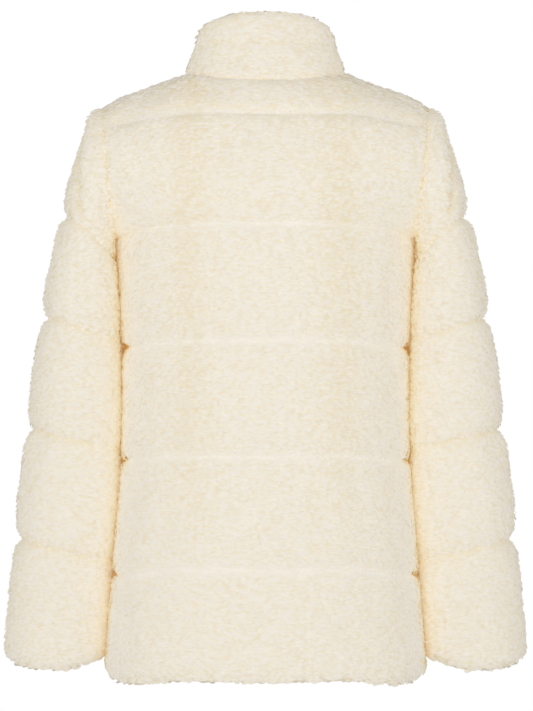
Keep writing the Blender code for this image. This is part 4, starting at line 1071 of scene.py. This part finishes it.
def teeth_mesh(start, end):
    """Points and faces of the meshed teeth, left and right ones in turn"""
    plan = np.array([(x, half) for x, half in TOOTH_PLAN] + [(x, -half) for x, half in TOOTH_PLAN[::-1]])
    middle = np.array([plan[:, 0].mean(), 0.0])
    rings = [((plan - middle) * share + middle, height) for height, share in TOOTH_LEVELS]
    local = np.array([(x, up, height) for ring, height in rings for x, up in ring])
    places = np.arange(start + TOOTH_PITCH / 2.0, end - TOOTH_PITCH / 2.0, TOOTH_PITCH / 2.0)
    points, along, outward = zip_frames(places)
    middle_line = points * np.array([0.0, 1.0, 1.0]) - outward * (TAPE_GAP + TAPE_THICKNESS / 2.0)
    side = np.where(np.arange(len(places)) % 2 == 0, 1.0, -1.0)[:, None, None]
    mesh = middle_line[:, None] + side * local[None, :, :1] * np.array([1.0, 0.0, 0.0])
    mesh = mesh + along[:, None] * local[None, :, 1:2] + outward[:, None] * local[None, :, 2:3]
    base = len(local) * np.arange(len(places))[:, None, None]
    faces = [
        (np.where(side < 0, part[None], part[None, :, ::-1]) + base).reshape(-1, part.shape[1])
        for part in tooth_faces(len(plan), len(rings))
    ]
    return mesh.reshape(-1, 3), faces


zip_edge = joined(front_inside[:, 0], collar_inside[1:, 0])
zip_edge[:, 0] = ZIP_EDGE_X
zip_beside = joined(front_inside[:, 2], collar_inside[1:, 2])
zip_lengths = distances(zip_edge)

tape_twill = weave_material()
tape_inner, tape_outer, tape_length = tape_grids()
for side, flip in BOTH_SIDES:
    tape = wall_piece(f"tape_{side}", tape_inner * flip, tape_outer * flip, None, [tape_twill])
    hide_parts(f"zip_tape_{side}")
    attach(tape, "jacket")

teeth_brass = brass_material("zip teeth brass", (0.80, 0.65, 0.38, 1.0), 0.34)
slider_at = zip_lengths[-1] - SLIDER_BELOW_TOP
teeth_end = slider_at + SLIDER_HALF_LENGTH - SLIDER_POST
teeth_points, teeth_faces = teeth_mesh(TAPE_END_MARGIN + BOX_LENGTH, teeth_end)
teeth = mesh_piece("teeth", teeth_points, teeth_faces, [teeth_brass, teeth_brass])
teeth.data.shade_flat()
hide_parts("zip_chain")
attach(teeth, "jacket")

slider_brass = brass_material("zip slider brass", (0.82, 0.67, 0.40, 1.0), 0.26)
for node in ("zip_box", "zip_slider", "zip_pull_tab"):
    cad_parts[node].material_slots[0].material = slider_brass

# ---------------------------------------------------------------- floor, light and camera
# A plain pale floor below the hem, even studio light from all round that is weaker from above, a softbox
# beside the camera and one before the fronts, and the photo's viewpoint: level, straight behind the jacket.

CAMERA_DISTANCE = 3.3
CAMERA_X, CAMERA_Z = -0.00115, -0.312
VIEW_HEIGHT = 0.81765
SENSOR = 36.0
FLOOR_Z, FLOOR_HALF = -950.0, 1400.0  # in millimetres, as the pieces are
PALE = (0.86, 0.86, 0.85, 1.0)
WHITE = (1.0, 1.0, 1.0, 1.0)
LIGHT_LEVEL, LIGHT_ABOVE, SEEN_BACKDROP = 0.65, 0.47, 1.0
LIGHT_SIZE, LIGHT_AIM = 1.6, (0.0, 0.0, -0.35)
SOFTBOXES = (("key", (0.2, 3.4, -0.2), 25.0), ("fill", (-0.9, -3.0, 0.5), 12.0))

floor_finish, floor_tree, floor_shader = new_finish("pale floor")
feed(floor_tree, floor_shader, {"Base Color": PALE, "Roughness": 0.9})
corners = ((-1, -1), (1, -1), (1, 1), (-1, 1))
corners = np.array([(x * FLOOR_HALF, y * FLOOR_HALF, FLOOR_Z) for x, y in corners])
floor = mesh_piece("floor", corners, [np.arange(4)[None]], [floor_finish])
floor.data.shade_flat()

world = bpy.data.worlds.new("studio")
world.use_nodes = True
sky = world.node_tree
whence = add_node(sky, "SeparateXYZ", {"Vector": add_node(sky, "TexCoord").outputs["Generated"]})
soft_light = ranged(sky, whence.outputs["Z"], 0.0, 1.0, LIGHT_LEVEL, LIGHT_ABOVE)
seen = add_node(sky, "LightPath").outputs["Is Camera Ray"]
strength = ranged(sky, seen, 0.0, 1.0, soft_light, SEEN_BACKDROP)
feed(sky, sky.nodes["Background"].inputs, {"Color": WHITE, "Strength": strength})
bpy.context.scene.world = world
bpy.context.scene.view_settings.view_transform = "Standard"

for name, place, power in SOFTBOXES:
    light = bpy.data.lights.new(name, "AREA")
    light.shape, light.size, light.energy = "DISK", LIGHT_SIZE, power
    softbox = new_object(name, light)
    softbox.location = place
    softbox.rotation_mode = "QUATERNION"
    aim = mathutils.Vector(LIGHT_AIM) - mathutils.Vector(place)
    softbox.rotation_quaternion = aim.to_track_quat("-Z", "Y")

camera_data = bpy.data.cameras.new("camera")
camera_data.sensor_width = SENSOR
camera_data.lens = SENSOR * CAMERA_DISTANCE / VIEW_HEIGHT
camera = new_object("camera", camera_data)
camera.location = (CAMERA_X, CAMERA_DISTANCE, CAMERA_Z)
camera.rotation_euler = (math.radians(90.0), 0.0, math.radians(180.0))
bpy.context.scene.camera = camera
